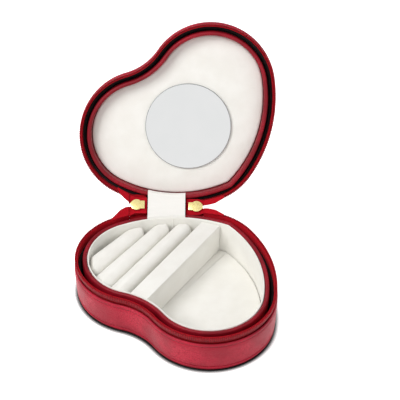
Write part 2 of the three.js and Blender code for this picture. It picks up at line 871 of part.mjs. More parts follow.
// A group turned by an angle about the hinge axis, whose children keep their shut places
function turnedAboutHinge(angle) {
  const pivot = new THREE.Group();
  pivot.position.set(0, hingeY, baseHeight);
  pivot.rotation.x = -radians(angle);
  const shut = new THREE.Group();
  shut.position.set(0, -hingeY, -baseHeight);
  pivot.add(shut);
  return { pivot, shut };
}

const jewelryCase = new THREE.Group();

const base = new THREE.Group();
base.add(
  ...halfPieces('base', collarInnerSkirt, collarOuterSkirt),
  part('base_wall_lining', wallLining(), 'velvet'),
  part('base_floor_lining', floorLining(), 'velvet'),
  ...dividerPieces(),
  ...rollPieces(),
);

const lidDepth = lidHeight - boardTop - seat - collarBelowZip;
const lid = turnedAboutHinge(lidOpening);
lid.shut.add(
  ...halfPieces('lid', lidDepth, lidDepth),
  part('lid_pad', lidPad(), 'foam'),
  part('lid_panel_board', panelBoard(), 'board'),
  part('lid_panel_cover', panelCover(), 'velvet'),
  part('mirror', mirrorGlass(), 'mirror'),
);

const hinge = new THREE.Group();
hinge.add(
  part('hinge_strap', hingeStrap(), 'velvet'),
  part('hinge_spine', spine(), 'leather'),
  part('hinge_chain', hingeChain(), 'coil'),
);

const sliders = turnedAboutHinge(lidOpening / 2);
for (const side of sliderSides) {
  const zipPlace = new THREE.Group();
  zipPlace.position.set(side.tail, hingeY - side.reach, baseHeight);
  const body = part(`slider_${side.name}`, sliderBody(), 'gold');
  const pull = part(`pull_${side.name}`, pullTab(), 'gold');
  const eye = sliderTailLength + bailBar;
  pull.position.set(side.sign * eye, sliderChannel / 2 + sliderPlate + bailHeight / 2, 0);
  body.rotation.y = side.sign > 0 ? 0 : Math.PI;
  zipPlace.add(body, pull);
  sliders.shut.add(zipPlace);
}

jewelryCase.add(base, lid.pivot, hinge, sliders.pivot);

export default jewelryCase;
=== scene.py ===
"""Looks of a heart-shaped zip-around jewelry case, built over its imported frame.

Each sub-assembly is modelled in millimetres as it lies when the case is shut, measured from the
zip line, and is then taken to its place in the frame, in metres, with the lid standing open.
"""

from __future__ import annotations

import json
import logging
import math
from collections.abc import Callable, Mapping, Sequence
from dataclasses import dataclass
from enum import Enum

import bpy
from mathutils import Matrix, Vector
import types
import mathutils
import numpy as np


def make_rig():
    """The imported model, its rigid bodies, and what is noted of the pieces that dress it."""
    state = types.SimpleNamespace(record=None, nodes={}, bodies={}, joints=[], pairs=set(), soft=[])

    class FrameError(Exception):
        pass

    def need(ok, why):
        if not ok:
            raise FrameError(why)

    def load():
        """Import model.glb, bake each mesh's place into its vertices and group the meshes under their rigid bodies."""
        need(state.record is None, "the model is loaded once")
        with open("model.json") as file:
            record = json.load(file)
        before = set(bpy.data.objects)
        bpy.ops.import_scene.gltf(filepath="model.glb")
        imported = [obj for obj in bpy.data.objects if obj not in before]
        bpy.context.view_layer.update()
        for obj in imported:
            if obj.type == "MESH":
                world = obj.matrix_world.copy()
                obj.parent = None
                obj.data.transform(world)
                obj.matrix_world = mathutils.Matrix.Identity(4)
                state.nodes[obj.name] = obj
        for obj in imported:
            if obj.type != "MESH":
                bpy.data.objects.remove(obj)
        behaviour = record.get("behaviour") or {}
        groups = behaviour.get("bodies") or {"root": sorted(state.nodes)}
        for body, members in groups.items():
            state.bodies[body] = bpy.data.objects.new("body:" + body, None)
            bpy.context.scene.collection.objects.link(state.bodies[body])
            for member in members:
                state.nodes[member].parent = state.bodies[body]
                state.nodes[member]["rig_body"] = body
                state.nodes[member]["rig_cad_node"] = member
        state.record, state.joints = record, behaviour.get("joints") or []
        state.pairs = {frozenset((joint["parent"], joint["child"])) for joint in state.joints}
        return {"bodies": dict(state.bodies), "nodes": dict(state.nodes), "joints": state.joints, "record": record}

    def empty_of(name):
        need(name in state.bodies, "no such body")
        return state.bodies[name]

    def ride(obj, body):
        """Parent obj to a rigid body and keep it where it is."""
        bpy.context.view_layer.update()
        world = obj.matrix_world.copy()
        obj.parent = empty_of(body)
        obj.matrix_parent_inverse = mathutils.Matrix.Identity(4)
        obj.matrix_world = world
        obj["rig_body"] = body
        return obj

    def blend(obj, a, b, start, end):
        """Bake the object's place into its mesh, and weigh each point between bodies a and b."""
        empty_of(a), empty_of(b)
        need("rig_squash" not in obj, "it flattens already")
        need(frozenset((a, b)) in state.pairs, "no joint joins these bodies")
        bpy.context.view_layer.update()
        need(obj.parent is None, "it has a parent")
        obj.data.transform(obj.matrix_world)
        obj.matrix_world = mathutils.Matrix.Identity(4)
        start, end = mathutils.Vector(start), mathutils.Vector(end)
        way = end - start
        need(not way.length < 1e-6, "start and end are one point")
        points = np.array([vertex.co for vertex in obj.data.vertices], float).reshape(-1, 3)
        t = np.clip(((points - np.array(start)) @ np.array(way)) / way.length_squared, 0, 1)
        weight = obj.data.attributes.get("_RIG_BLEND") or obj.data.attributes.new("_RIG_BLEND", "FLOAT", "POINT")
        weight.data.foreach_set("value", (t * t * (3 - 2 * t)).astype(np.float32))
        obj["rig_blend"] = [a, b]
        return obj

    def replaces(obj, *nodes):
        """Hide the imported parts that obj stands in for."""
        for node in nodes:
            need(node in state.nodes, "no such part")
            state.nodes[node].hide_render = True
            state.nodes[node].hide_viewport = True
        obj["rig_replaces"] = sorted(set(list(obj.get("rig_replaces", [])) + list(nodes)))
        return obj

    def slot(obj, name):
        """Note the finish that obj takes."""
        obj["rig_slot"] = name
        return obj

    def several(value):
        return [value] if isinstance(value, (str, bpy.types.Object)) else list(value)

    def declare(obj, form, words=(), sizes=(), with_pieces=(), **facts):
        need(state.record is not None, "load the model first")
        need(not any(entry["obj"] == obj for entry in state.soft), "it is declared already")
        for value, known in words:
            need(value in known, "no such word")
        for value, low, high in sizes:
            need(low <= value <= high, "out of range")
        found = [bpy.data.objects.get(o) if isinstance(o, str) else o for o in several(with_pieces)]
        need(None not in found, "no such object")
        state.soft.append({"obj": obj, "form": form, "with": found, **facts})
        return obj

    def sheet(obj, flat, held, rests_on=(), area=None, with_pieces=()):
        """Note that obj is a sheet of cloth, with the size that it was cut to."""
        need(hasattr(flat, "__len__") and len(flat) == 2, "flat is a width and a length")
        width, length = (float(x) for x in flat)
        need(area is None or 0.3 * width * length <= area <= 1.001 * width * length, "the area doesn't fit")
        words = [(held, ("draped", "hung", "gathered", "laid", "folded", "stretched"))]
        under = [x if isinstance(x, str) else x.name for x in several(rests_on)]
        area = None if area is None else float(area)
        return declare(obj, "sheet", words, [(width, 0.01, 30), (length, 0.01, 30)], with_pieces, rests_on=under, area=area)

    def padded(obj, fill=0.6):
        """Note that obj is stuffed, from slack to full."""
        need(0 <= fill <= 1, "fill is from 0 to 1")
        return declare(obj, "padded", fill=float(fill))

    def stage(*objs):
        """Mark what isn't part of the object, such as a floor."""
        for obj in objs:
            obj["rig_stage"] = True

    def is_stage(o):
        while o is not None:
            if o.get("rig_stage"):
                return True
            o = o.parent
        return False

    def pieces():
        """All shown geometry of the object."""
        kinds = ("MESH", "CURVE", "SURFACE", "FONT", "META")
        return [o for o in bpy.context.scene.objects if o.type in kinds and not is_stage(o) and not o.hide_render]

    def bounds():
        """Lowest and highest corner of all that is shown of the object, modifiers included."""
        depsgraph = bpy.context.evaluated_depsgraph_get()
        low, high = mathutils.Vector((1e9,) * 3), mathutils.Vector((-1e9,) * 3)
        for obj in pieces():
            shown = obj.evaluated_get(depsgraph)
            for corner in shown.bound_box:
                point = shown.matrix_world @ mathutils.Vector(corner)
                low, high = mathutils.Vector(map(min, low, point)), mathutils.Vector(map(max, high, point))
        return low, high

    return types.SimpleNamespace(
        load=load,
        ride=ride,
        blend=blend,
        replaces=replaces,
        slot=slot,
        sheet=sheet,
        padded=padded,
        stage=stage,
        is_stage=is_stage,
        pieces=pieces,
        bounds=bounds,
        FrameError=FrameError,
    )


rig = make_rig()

log = logging.getLogger("jewelry_case")

MM = 0.001
SIZE_FILE = "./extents.json"

Point = tuple[float, float, float]
Profile = Sequence[tuple[float, float]]
Fan = tuple[Point, ...]
Colour = tuple[float, float, float, float]


class Half(Enum):
    """The two halves of the case, named as the bodies that they ride on."""

    BASE = "base"
    LID = "lid"


class Side(Enum):
    """The two ends of the hinge, where the sliders wait."""

    LEFT = "left"
    RIGHT = "right"

    @property
    def sign(self) -> int:
        """Which way along the hinge the slider's nose points."""
        return -1 if self is Side.LEFT else 1


@dataclass(frozen=True)
class SliderPlace:
    """A slider's middle and tail along the hinge, and its reach in front of the hinge line."""

    middle: float
    tail: float
    reach: float


@dataclass(frozen=True)
class CaseSizes:
    """Sizes that several sub-assemblies share, in millimetres and degrees."""

    base_height: float = 26.0
    lid_height: float = 12.8
    lid_crown: float = 1.6
    lid_opening: float = 118.0
    heart_turn: float = 54.1
    fittings_turn: float = 3.0
    lobe_spread: float = 24.4
    lobe_radius: float = 38.0
    notch_radius: float = 34.0
    tip_reach: float = 59.0
    tip_radius: float = 39.0
    flank_radius: float = 81.5
    collar_tip: float = 10.7
    leather: float = 0.9
    cover_turn: float = 3.2
    hem_below_zip: float = 5.2
    lean: float = 0.8
    lean_from: float = 7.4
    seat: float = 0.3
    collar_below_zip: float = 0.75
    collar_inset: float = 4.8
    rim_width: float = 7.2
    lining_inset: float = 7.5
    velvet: float = 0.8
    contents_inset: float = 8.6
    floor_bottom: float = 2.7
    floor_top: float = 4.4
    hinge_y: float = 56.8996
    hinge_middle: float = -5.8989
    zip_end_left: float = -27.799
    zip_end_right: float = 16.001
    left_slider: SliderPlace = SliderPlace(middle=-23.1, tail=-18.799, reach=3.373)
    right_slider: SliderPlace = SliderPlace(middle=11.3, tail=7.001, reach=0.906)

    def height(self, half: Half) -> float:
        """Depth of a half's flat outer face below the zip line."""
        return self.base_height if half is Half.BASE else self.lid_height

    def leaning(self, half: Half, inset: float, depth: float) -> float:
        """A wall's inset at a depth, as the base's wall leans in towards the table.

        Args:
            half: The half that the wall belongs to.
            inset: Its inset at the zip.
            depth: Depth below the zip line.

        Returns:
            The inset at that depth.
        """
        if half is Half.LID:
            return inset
        share = (depth - self.lean_from) / (self.base_height - self.lean_from)
        return inset + self.lean * max(0.0, share)

    def about_hinge(self, degrees: float) -> Matrix:
        """A turn about the hinge that opens the case by some degrees."""
        axis = Vector((0.0, self.hinge_y, self.base_height))
        turn = Matrix.Rotation(-math.radians(degrees), 4, "X")
        return Matrix.Translation(axis) @ turn @ Matrix.Translation(-axis)

    def in_frame(self, half: Half) -> Matrix:
        """From plan millimetres about the zip line to the frame's metres.

        Args:
            half: The half that the piece belongs to.

        Returns:
            The matrix that takes the piece to its place.
        """
        raised = Matrix.Translation((0.0, 0.0, self.base_height))
        opened = self.about_hinge(self.lid_opening if half is Half.LID else 0.0)
        return Matrix.Scale(MM, 4) @ opened @ raised

    def plan_turn(self, extra: float = 0.0) -> Matrix:
        """The heart's turn in plan, with any extra turn of the fittings."""
        return Matrix.Rotation(math.radians(self.heart_turn + extra), 4, "Z")


@dataclass(frozen=True)
class Arc:
    """One tangent arc of the outline: its centre, its sweep to the left and its steps."""

    centre: tuple[float, float]
    sweep: float
    steps: int


@dataclass(frozen=True)
class HeartRoute:
    """Half of the heart, from its tip to its notch, as arcs that share centres at every inset."""

    sizes: CaseSizes
    tip_round: float
    fineness: float = 1.0

    def flank_centre(self) -> Vector:
        """Centre of the circle of the long flank."""
        s = self.sizes
        lobe = Vector((0.0, s.lobe_spread))
        tip = Vector((s.tip_reach - s.tip_radius, 0.0))
        to_lobe = s.flank_radius - s.lobe_radius
        to_tip = s.flank_radius - s.tip_radius
        span = (tip - lobe).length
        along = (span**2 + to_lobe**2 - to_tip**2) / (2 * span)
        aside = math.sqrt(to_lobe**2 - along**2)
        ahead = (tip - lobe) / span
        return lobe + ahead * along + Vector((ahead.y, -ahead.x)) * aside

    def tip_centre(self) -> Vector:
        """Centre of the arc at the tip."""
        flank = self.flank_centre()
        reach = self.sizes.flank_radius - self.tip_round
        return Vector((flank.x + math.sqrt(reach**2 - flank.y**2), 0.0))

    def notch_centre(self) -> Vector:
        """Centre of the arc in the notch, outside the heart."""
        s = self.sizes
        return Vector((-math.sqrt((s.lobe_radius + s.notch_radius) ** 2 - s.lobe_spread**2), 0.0))

    def arcs(self) -> list[Arc]:
        """The arcs in order from the tip.

        Returns:
            Tip, flank, lobe and notch, the notch sweeping the other way.
        """
        flank, tip, notch = self.flank_centre(), self.tip_centre(), self.notch_centre()
        lobe = Vector((0.0, self.sizes.lobe_spread))

        def heading(way: Vector) -> float:
            """Angle of a direction, from nothing to a full turn."""
            return math.atan2(way.y, way.x) % math.tau

        tip_end, flank_end = heading(tip - flank), heading(lobe - flank)
        lobe_end, notch_start = heading(notch - lobe), heading(lobe - notch)
        plan = [
            (tip, tip_end, 10),
            (flank, flank_end - tip_end, 14),
            (lobe, lobe_end - flank_end, 44),
            (notch, -notch_start, 10),
        ]
        return [
            Arc((centre.x, centre.y), sweep, max(2, round(steps * self.fineness)))
            for centre, sweep, steps in plan
        ]

    def start(self, inset: float) -> float:
        """How far along its axis the outline's tip lies at an inset."""
        return self.tip_centre().x + self.tip_round - inset

    def back_at(self, x: float, inset: float) -> float:
        """How far back the outline lies in plan at a place along the hinge.

        Args:
            x: Place along the hinge.
            inset: Inset from the leather's outline.

        Returns:
            The plan's Y at that place.
        """
        centre = self.sizes.plan_turn() @ self.flank_centre().to_3d()
        radius = self.sizes.flank_radius - inset
        return centre.y + math.sqrt(radius**2 - (x - centre.x) ** 2)


def at_rest() -> None:
    """Leaves any edit and deselects everything, so that the next tool acts on one piece."""
    if bpy.context.mode != "OBJECT":
        bpy.ops.object.mode_set(mode="OBJECT")
    bpy.ops.object.select_all(action="DESELECT")


class Bench:
    """A piece being shaped with Blender's modelling tools, in millimetres."""

    def __init__(self, name: str) -> None:
        """Takes up the primitive that was just added.

        Args:
            name: The piece's name.
        """
        self.obj = bpy.context.object
        self.obj.name = name
        self.obj.data.name = name

    @classmethod
    def line(cls, name: str, points: Sequence[Point], closed: bool = False) -> Bench:
        """Draws a line by extruding one point after another.

        Args:
            name: The piece's name.
            points: The line's points.
            closed: Whether the last point joins the first.

        Returns:
            The bench with the line on it.
        """
        at_rest()
        bpy.ops.mesh.primitive_plane_add(size=1.0, location=(0.0, 0.0, 0.0))
        bench = cls(name)
        bench.edit()
        bpy.ops.mesh.merge(type="CENTER")
        bpy.ops.transform.translate(value=points[0])
        for before, after in zip(points, points[1:]):
            bench.extrude(tuple(b - a for a, b in zip(before, after)))
        if closed:
            ends = [Vector(points[0]), Vector(points[-1])]
            bench.pick(lambda p: min((p - e).length for e in ends) < 1e-4)
            bpy.ops.mesh.edge_face_add()
        return bench

    @classmethod
    def block(cls, name: str, low: Point, high: Point) -> Bench:
        """A block between two corners."""
        at_rest()
        middle = [(a + b) / 2 for a, b in zip(low, high)]
        bpy.ops.mesh.primitive_cube_add(size=1.0, location=middle)
        bench = cls(name)
        bench.obj.scale = [b - a for a, b in zip(low, high)]
        return bench.fixed()

    @classmethod
    def disc(cls, name: str, radius: float, depth: float, at: Point, sides: int) -> Bench:
        """A round plate or rod, standing upright about a point."""
        at_rest()
        bpy.ops.mesh.primitive_cylinder_add(
            vertices=sides, radius=radius, depth=depth, location=at
        )
        return cls(name).fixed()

    @classmethod
    def ball(cls, name: str, size: Point, sides: int, rings: int) -> Bench:
        """A ball stretched to a size along each axis."""
        at_rest()
        bpy.ops.mesh.primitive_uv_sphere_add(segments=sides, ring_count=rings, radius=0.5)
        bench = cls(name)
        bench.obj.scale = size
        return bench.fixed()

    def activate(self) -> None:
        """Makes this the one selected piece."""
        at_rest()
        self.obj.select_set(True)
        bpy.context.view_layer.objects.active = self.obj

    def edit(self) -> Bench:
        """Opens the mesh with all of it selected."""
        self.activate()
        bpy.ops.object.mode_set(mode="EDIT")
        bpy.ops.mesh.select_mode(type="VERT")
        bpy.ops.mesh.select_all(action="SELECT")
        return self

    def pick(self, test: Callable[[Vector], bool]) -> Bench:
        """Opens the mesh and selects its points by their place.

        Args:
            test: Says whether a point is wanted.

        Returns:
            The bench.
        """
        self.activate()
        mesh = self.obj.data
        for group in (mesh.edges, mesh.polygons):
            group.foreach_set("select", [False] * len(group))
        mesh.vertices.foreach_set("select", [bool(test(v.co)) for v in mesh.vertices])
        bpy.ops.object.mode_set(mode="EDIT")
        bpy.ops.mesh.select_mode(type="VERT")
        return self

    def extrude(self, way: Point) -> Bench:
        """Extrudes what is selected by a distance."""
        bpy.ops.mesh.extrude_region_move(TRANSFORM_OT_translate={"value": way})
        return self

    def shift(self, way: Point) -> Bench:
        """Moves what is selected."""
        bpy.ops.transform.translate(value=way)
        return self

    def resize(self, size: Point, centre: Point = (0.0, 0.0, 0.0)) -> Bench:
        """Scales what is selected about a centre."""
        bpy.ops.transform.resize(value=size, center_override=centre)
        return self

    def fill(self) -> Bench:
        """Closes the selected loop with one face."""
        bpy.ops.mesh.edge_face_add()
        return self

    def delete(self, kind: str = "VERT") -> Bench:
        """Deletes what is selected."""
        bpy.ops.mesh.delete(type=kind)
        return self

    def swing(self, centre: Point, sweep: float, steps: int, axis: Point = (0, 0, 1)) -> Bench:
        """Sweeps what is selected about an axis.

        Args:
            centre: A point on the axis.
            sweep: Angle in radians, to the left about the axis.
            steps: Number of steps.
            axis: Direction of the axis.

        Returns:
            The bench, with the far end of the sweep selected.
        """
        bpy.ops.mesh.spin(steps=steps, angle=-sweep, center=centre, axis=axis)
        return self

    def halve(self, at: Point, facing: Point, fill: bool = False, clear: bool = True) -> Bench:
        """Cuts what is selected with a plane and clears what lies in front of it."""
        bpy.ops.mesh.bisect(plane_co=at, plane_no=facing, use_fill=fill, clear_outer=clear)
        return self

    def modify(self, kind: str, **settings: object) -> Bench:
        """Adds a modifier and applies it.

        Args:
            kind: The modifier's type.
            **settings: Its settings.

        Returns:
            The bench.
        """
        self.activate()
        modifier = self.obj.modifiers.new(kind.title(), kind)
        for key, value in settings.items():
            setattr(modifier, key, value)
        bpy.ops.object.modifier_apply(modifier=modifier.name)
        return self

    def bevel(self, width: float, segments: int = 2, angle: float = 40.0) -> Bench:
        """Rounds the sharp edges."""
        return self.modify(
            "BEVEL",
            width=width,
            segments=segments,
            limit_method="ANGLE",
            angle_limit=math.radians(angle),
            use_clamp_overlap=True,
        )

    def around(self, route: HeartRoute) -> Bench:
        """Sweeps a profile that stands at the tip round the whole heart."""
        self.edit()
        for arc in route.arcs():
            self.swing((*arc.centre, 0.0), arc.sweep, arc.steps)
        self.modify("MIRROR", use_axis=(False, True, False), merge_threshold=0.01)
        return self

    def fixed(self, matrix: Matrix | None = None) -> Bench:
        """Applies the object's own placing, after an optional move, to its mesh.

        Args:
            matrix: Where to take the piece first.

        Returns:
            The bench.
        """
        self.activate()
        if matrix is not None:
            self.obj.matrix_world = matrix @ self.obj.matrix_world
        bpy.ops.object.transform_apply(location=True, rotation=True, scale=True)
        return self

    def outwards(self) -> Bench:
        """Merges doubles and turns every face outwards."""
        self.edit()
        bpy.ops.mesh.remove_doubles(threshold=0.001)
        bpy.ops.mesh.normals_make_consistent(inside=False)
        bpy.ops.object.mode_set(mode="OBJECT")
        return self

    def smooth(self, angle: float = 35.0) -> Bench:
        """Shades smoothly up to an angle."""
        self.activate()
        bpy.ops.object.shade_smooth_by_angle(angle=math.radians(angle))
        return self

    def joined(self, *others: Bench) -> Bench:
        """Joins other pieces into this one."""
        self.activate()
        for other in others:
            other.obj.select_set(True)
        bpy.ops.object.join()
        return self

    def cut_by(self, *tools: Bench) -> Bench:
        """Cuts other pieces out of this one and puts them away."""
        for tool in tools:
            self.modify("BOOLEAN", operation="DIFFERENCE", solver="EXACT", object=tool.obj)
            bpy.data.objects.remove(tool.obj)
        return self

    def as_path(self) -> Bench:
        """Turns a chain of edges into a curve that other pieces can be bent along."""
        self.activate()
        bpy.ops.object.convert(target="CURVE")
        self.obj = bpy.context.object
        self.obj.data.twist_mode = "Z_UP"
        if self.obj.data.splines[0].points[0].co.x < self.obj.data.splines[0].points[-1].co.x:
            return self
        bpy.ops.object.mode_set(mode="EDIT")
        bpy.ops.curve.select_all(action="SELECT")
        bpy.ops.curve.switch_direction()
        bpy.ops.object.mode_set(mode="OBJECT")
        return self

    def along(self, path: Bench, pitch: float) -> Bench:
        """Repeats the piece at a pitch all along a path, then puts the path away.

        Args:
            path: The curve to follow.
            pitch: Distance from one copy to the next.

        Returns:
            The bench.
        """
        count = int(path.obj.data.splines[0].calc_length() / pitch)
        self.modify(
            "ARRAY",
            use_relative_offset=False,
            use_constant_offset=True,
            constant_offset_displace=(pitch, 0.0, 0.0),
            count=count,
        )
        self.modify("CURVE", object=path.obj, deform_axis="POS_X")
        bpy.data.objects.remove(path.obj)
        return self


Reckoned = "Value | float"


class Value:
    """A node's output, which can be reckoned with like a number."""

    def __init__(self, recipe: Recipe, socket: bpy.types.NodeSocket) -> None:
        """Wraps a socket of a recipe."""
        self.recipe = recipe
        self.socket = socket

    def _math(self, operation: str, first: object, second: object, **more: object) -> Value:
        """One step of reckoning."""
        return self.recipe.node(
            "ShaderNodeMath", {0: first, 1: second}, operation=operation, **more
        )

    def __add__(self, other: Reckoned) -> Value:
        """Sum."""
        return self._math("ADD", self, other)

    def __radd__(self, other: Reckoned) -> Value:
        """Sum, with the number first."""
        return self._math("ADD", other, self)

    def __sub__(self, other: Reckoned) -> Value:
        """Difference."""
        return self._math("SUBTRACT", self, other)

    def __rsub__(self, other: Reckoned) -> Value:
        """Difference, from a number."""
        return self._math("SUBTRACT", other, self)

    def __mul__(self, other: Reckoned) -> Value:
        """Product."""
        return self._math("MULTIPLY", self, other)

    def __rmul__(self, other: Reckoned) -> Value:
        """Product, with the number first."""
        return self._math("MULTIPLY", other, self)

    def __truediv__(self, other: Reckoned) -> Value:
        """Share."""
        return self._math("DIVIDE", self, other)

    def __rtruediv__(self, other: Reckoned) -> Value:
        """Share of a number."""
        return self._math("DIVIDE", other, self)

    def __pow__(self, other: Reckoned) -> Value:
        """Power."""
        return self._math("POWER", self, other)

    def __neg__(self) -> Value:
        """The opposite."""
        return self._math("MULTIPLY", self, -1.0)

    def sine(self) -> Value:
        """Sine of an angle in radians."""
        return self._math("SINE", self, 0.0)

    def least(self, other: Reckoned) -> Value:
        """The lesser of two."""
        return self._math("MINIMUM", self, other)

    def greatest(self, other: Reckoned) -> Value:
        """The greater of two."""
        return self._math("MAXIMUM", self, other)

    def ramp(self, low: float, high: float, start: float = 0.0, end: float = 1.0) -> Value:
        """Eases from start to end as the value goes from low to high."""
        return self.recipe.node(
            "ShaderNodeMapRange",
            {0: self, 1: low, 2: high, 3: start, 4: end},
            interpolation_type="SMOOTHSTEP",
        )


class Recipe:
    """A material's nodes, all made by one method."""

    def __init__(self, name: str) -> None:
        """Starts an empty material.

        Args:
            name: The material's name.
        """
        self.material = bpy.data.materials.new(name)
        self.material.use_nodes = True
        self.tree = self.material.node_tree
        self.tree.nodes.clear()

    def node(
        self,
        kind: str,
        inputs: Mapping[int | str, object] | None = None,
        output: int | str = 0,
        **settings: object,
    ) -> Value:
        """Makes any node, with its settings and what goes into it.

        Args:
            kind: The node's type.
            inputs: Values, or other nodes' outputs, by socket.
            output: The socket that is wanted.
            **settings: The node's own settings.

        Returns:
            The wanted output.
        """
        made = self.tree.nodes.new(kind)
        for key, value in settings.items():
            setattr(made, key, value)
        for key, value in (inputs or {}).items():
            if isinstance(value, Value):
                self.tree.links.new(value.socket, made.inputs[key])
            else:
                made.inputs[key].default_value = value
        return Value(self, made.outputs[output] if made.outputs else None)

    def place(self) -> Value:
        """Where a point of the surface is on its piece, in metres."""
        return self.node("ShaderNodeTexCoord", output="Object")

    def axes(self) -> tuple[Value, Value, Value]:
        """The three measures of that place, in millimetres."""
        place = self.node("ShaderNodeVectorMath", {0: self.place(), 3: 1 / MM}, operation="SCALE")
        return tuple(
            self.node("ShaderNodeSeparateXYZ", {0: place}, output=axis) for axis in range(3)
        )

    def noise(self, size: float, detail: float = 2.0, at: Value | None = None) -> Value:
        """Soft spots of a size in millimetres, around a half."""
        return self.node(
            "ShaderNodeTexNoise",
            {"Vector": at or self.place(), "Scale": 1 / (size * MM), "Detail": detail},
            output="Fac",
        )

    def cells(self, size: float, feature: str = "DISTANCE_TO_EDGE", at: Value | None = None) -> Value:
        """Cells of a size in millimetres, by how far a point is from their edges."""
        return self.node(
            "ShaderNodeTexVoronoi",
            {"Vector": at or self.place(), "Scale": 1 / (size * MM)},
            output="Distance",
            feature=feature,
        )

    def mix(self, share: object, first: object, second: object) -> Value:
        """A colour between two others."""
        return self.node(
            "ShaderNodeMix", {0: share, 6: first, 7: second}, output=2, data_type="RGBA"
        )

    def bump(self, height: Value, depth: float, strength: float = 1.0) -> Value:
        """Relief of a depth in millimetres."""
        return self.node(
            "ShaderNodeBump",
            {"Height": height, "Distance": depth * MM, "Strength": strength},
            output="Normal",
        )

    def surface(self, **inputs: object) -> Recipe:
        """Ends the recipe in a Principled surface.

        Args:
            **inputs: What goes into it, by socket name with underscores for spaces.

        Returns:
            The recipe.
        """
        named = {key.replace("_", " "): value for key, value in inputs.items()}
        return self.end(self.node("ShaderNodeBsdfPrincipled", named))

    def end(self, shader: Value) -> Recipe:
        """Ends the recipe in a shader."""
        self.node("ShaderNodeOutputMaterial", {"Surface": shader})
        return self


@dataclass(frozen=True)
class Finish:
    """A finish that pieces wear, and the record's slot that it belongs to."""

    name: str
    slot: str

    def recipe(self) -> Recipe:
        """Makes the finish's nodes."""
        raise NotImplementedError

    def material(self) -> bpy.types.Material:
        """The finish's material, made once."""
        return bpy.data.materials.get(self.name) or self.recipe().material


@dataclass(frozen=True)
class GrainedLeather(Finish):
    """Glossy imitation leather with small raised grains."""

    name: str = "grained_leather"
    slot: str = "red_leather"
    grain: float = 1.35
    relief: float = 0.07
    light: Colour = (0.55, 0.016, 0.045, 1.0)
    dark: Colour = (0.34, 0.007, 0.024, 1.0)

    def recipe(self) -> Recipe:
        """Grains parted by creases, with broad clouds of colour and a fine tooth, and the dark colour painted into the
        creases as painted shade.
        """
        r = Recipe(self.name)
        drift = r.node(
            "ShaderNodeTexNoise", {"Vector": r.place(), "Scale": 1 / (3 * MM)}, output="Color"
        )
        pushed = r.node(
            "ShaderNodeVectorMath", {0: drift, 1: (0.5, 0.5, 0.5)}, operation="SUBTRACT"
        )
        shifted = r.node("ShaderNodeVectorMath", {0: pushed, 3: 0.8 * MM}, operation="SCALE")
        at = r.node("ShaderNodeVectorMath", {0: r.place(), 1: shifted}, operation="ADD")
        grain = r.cells(self.grain, at=at).ramp(0.0, 0.16)
        fine = r.cells(self.grain * 0.42, at=at).ramp(0.0, 0.2)
        tooth, cloud = r.noise(0.16, 3.0), r.noise(16.0, 3.0)
        height = grain * 0.62 + fine * 0.22 + tooth * 0.3
        body = r.mix(cloud.ramp(0.35, 0.65), self.dark, self.light)
        # The dark colour is painted into the creases between the grains as painted shade.
        crease_shaded = r.mix((grain * 0.7 + fine * 0.3).ramp(0.0, 0.9), self.dark, body)
        return r.surface(
            Base_Color=crease_shaded,
            Roughness=0.5 - grain * 0.1 + tooth * 0.08,
            Normal=r.bump(height, self.relief),
            Specular_IOR_Level=0.22,
            Coat_Weight=0.04,
            Coat_Roughness=0.25,
        )


@dataclass(frozen=True)
class ShadedCollarLeather(GrainedLeather):
    """A darker copy of the same leather for the collars, painted shade where they look darker."""

    name: str = "collar_leather"
    # Darker colours than the side leather: painted shade on the collars.
    light: Colour = (0.36, 0.006, 0.02, 1.0)
    dark: Colour = (0.2, 0.003, 0.01, 1.0)


@dataclass(frozen=True)
class WovenTape(Finish):
    """Ribbed woven tape of the zip."""

    name: str = "woven_tape"
    slot: str = "red_tape"
    rib: float = 0.42
    colour: Colour = (0.62, 0.003, 0.016, 1.0)
    shade: Colour = (0.3, 0.001, 0.006, 1.0)

    def recipe(self) -> Recipe:
        """Ribs along the zip, crossed by threads."""
        r = Recipe(self.name)
        x, y, z = r.axes()
        rib = (z * (math.tau / self.rib)).sine() * 0.5 + 0.5
        cross = ((x + y) * (math.tau / self.rib)).sine() * ((x - y) * (math.tau / self.rib)).sine()
        thread = rib * 0.6 + cross * 0.2 + r.noise(0.25) * 0.4
        return r.surface(
            Base_Color=r.mix(thread.ramp(0.1, 0.9), self.shade, self.colour),
            Roughness=0.78 + rib * 0.1,
            Normal=r.bump(thread, 0.12),
            Specular_IOR_Level=0.15,
            Sheen_Weight=0.03,
        )


@dataclass(frozen=True)
class NylonCoil(Finish):
    """Dyed nylon of the zip's coil."""

    name: str = "nylon_coil"
    slot: str = "red_coil"
    colour: Colour = (0.42, 0.004, 0.014, 1.0)
    shade: Colour = (0.26, 0.002, 0.008, 1.0)

    def recipe(self) -> Recipe:
        """Smooth dyed plastic with faint drawing marks."""
        r = Recipe(self.name)
        spot, fine = r.noise(1.2), r.noise(0.1, 2.0)
        return r.surface(
            Base_Color=r.mix(spot.ramp(0.3, 0.7), self.shade, self.colour),
            Roughness=0.42 + fine * 0.16,
            Normal=r.bump(fine, 0.02),
            Specular_IOR_Level=0.16,
        )


@dataclass(frozen=True)
class ShadedCoilCord(NylonCoil):
    """Cord that the coil is wound round, a darker copy of the coil's nylon as painted shade inside the coil."""

    name: str = "coil_cord"
    # Darker colours than the coil: painted shade where the cord sits inside the teeth.
    colour: Colour = (0.16, 0.002, 0.007, 1.0)
    shade: Colour = (0.09, 0.001, 0.004, 1.0)


@dataclass(frozen=True)
class SewingThread(Finish):
    """Dark red thread of the hem's stitches."""

    name: str = "stitch_thread"
    slot: str = "red_tape"
    twist: float = 0.3
    colour: Colour = (0.2, 0.002, 0.008, 1.0)
    shade: Colour = (0.06, 0.001, 0.003, 1.0)

    def recipe(self) -> Recipe:
        """Twisted strands."""
        r = Recipe(self.name)
        x, y, z = r.axes()
        strand = ((x + y * 0.7 + z * 1.6) * (math.tau / self.twist)).sine() * 0.5 + 0.5
        return r.surface(
            Base_Color=r.mix(strand, self.shade, self.colour),
            Roughness=0.6 + strand * 0.1,
            Normal=r.bump(strand, 0.05),
        )


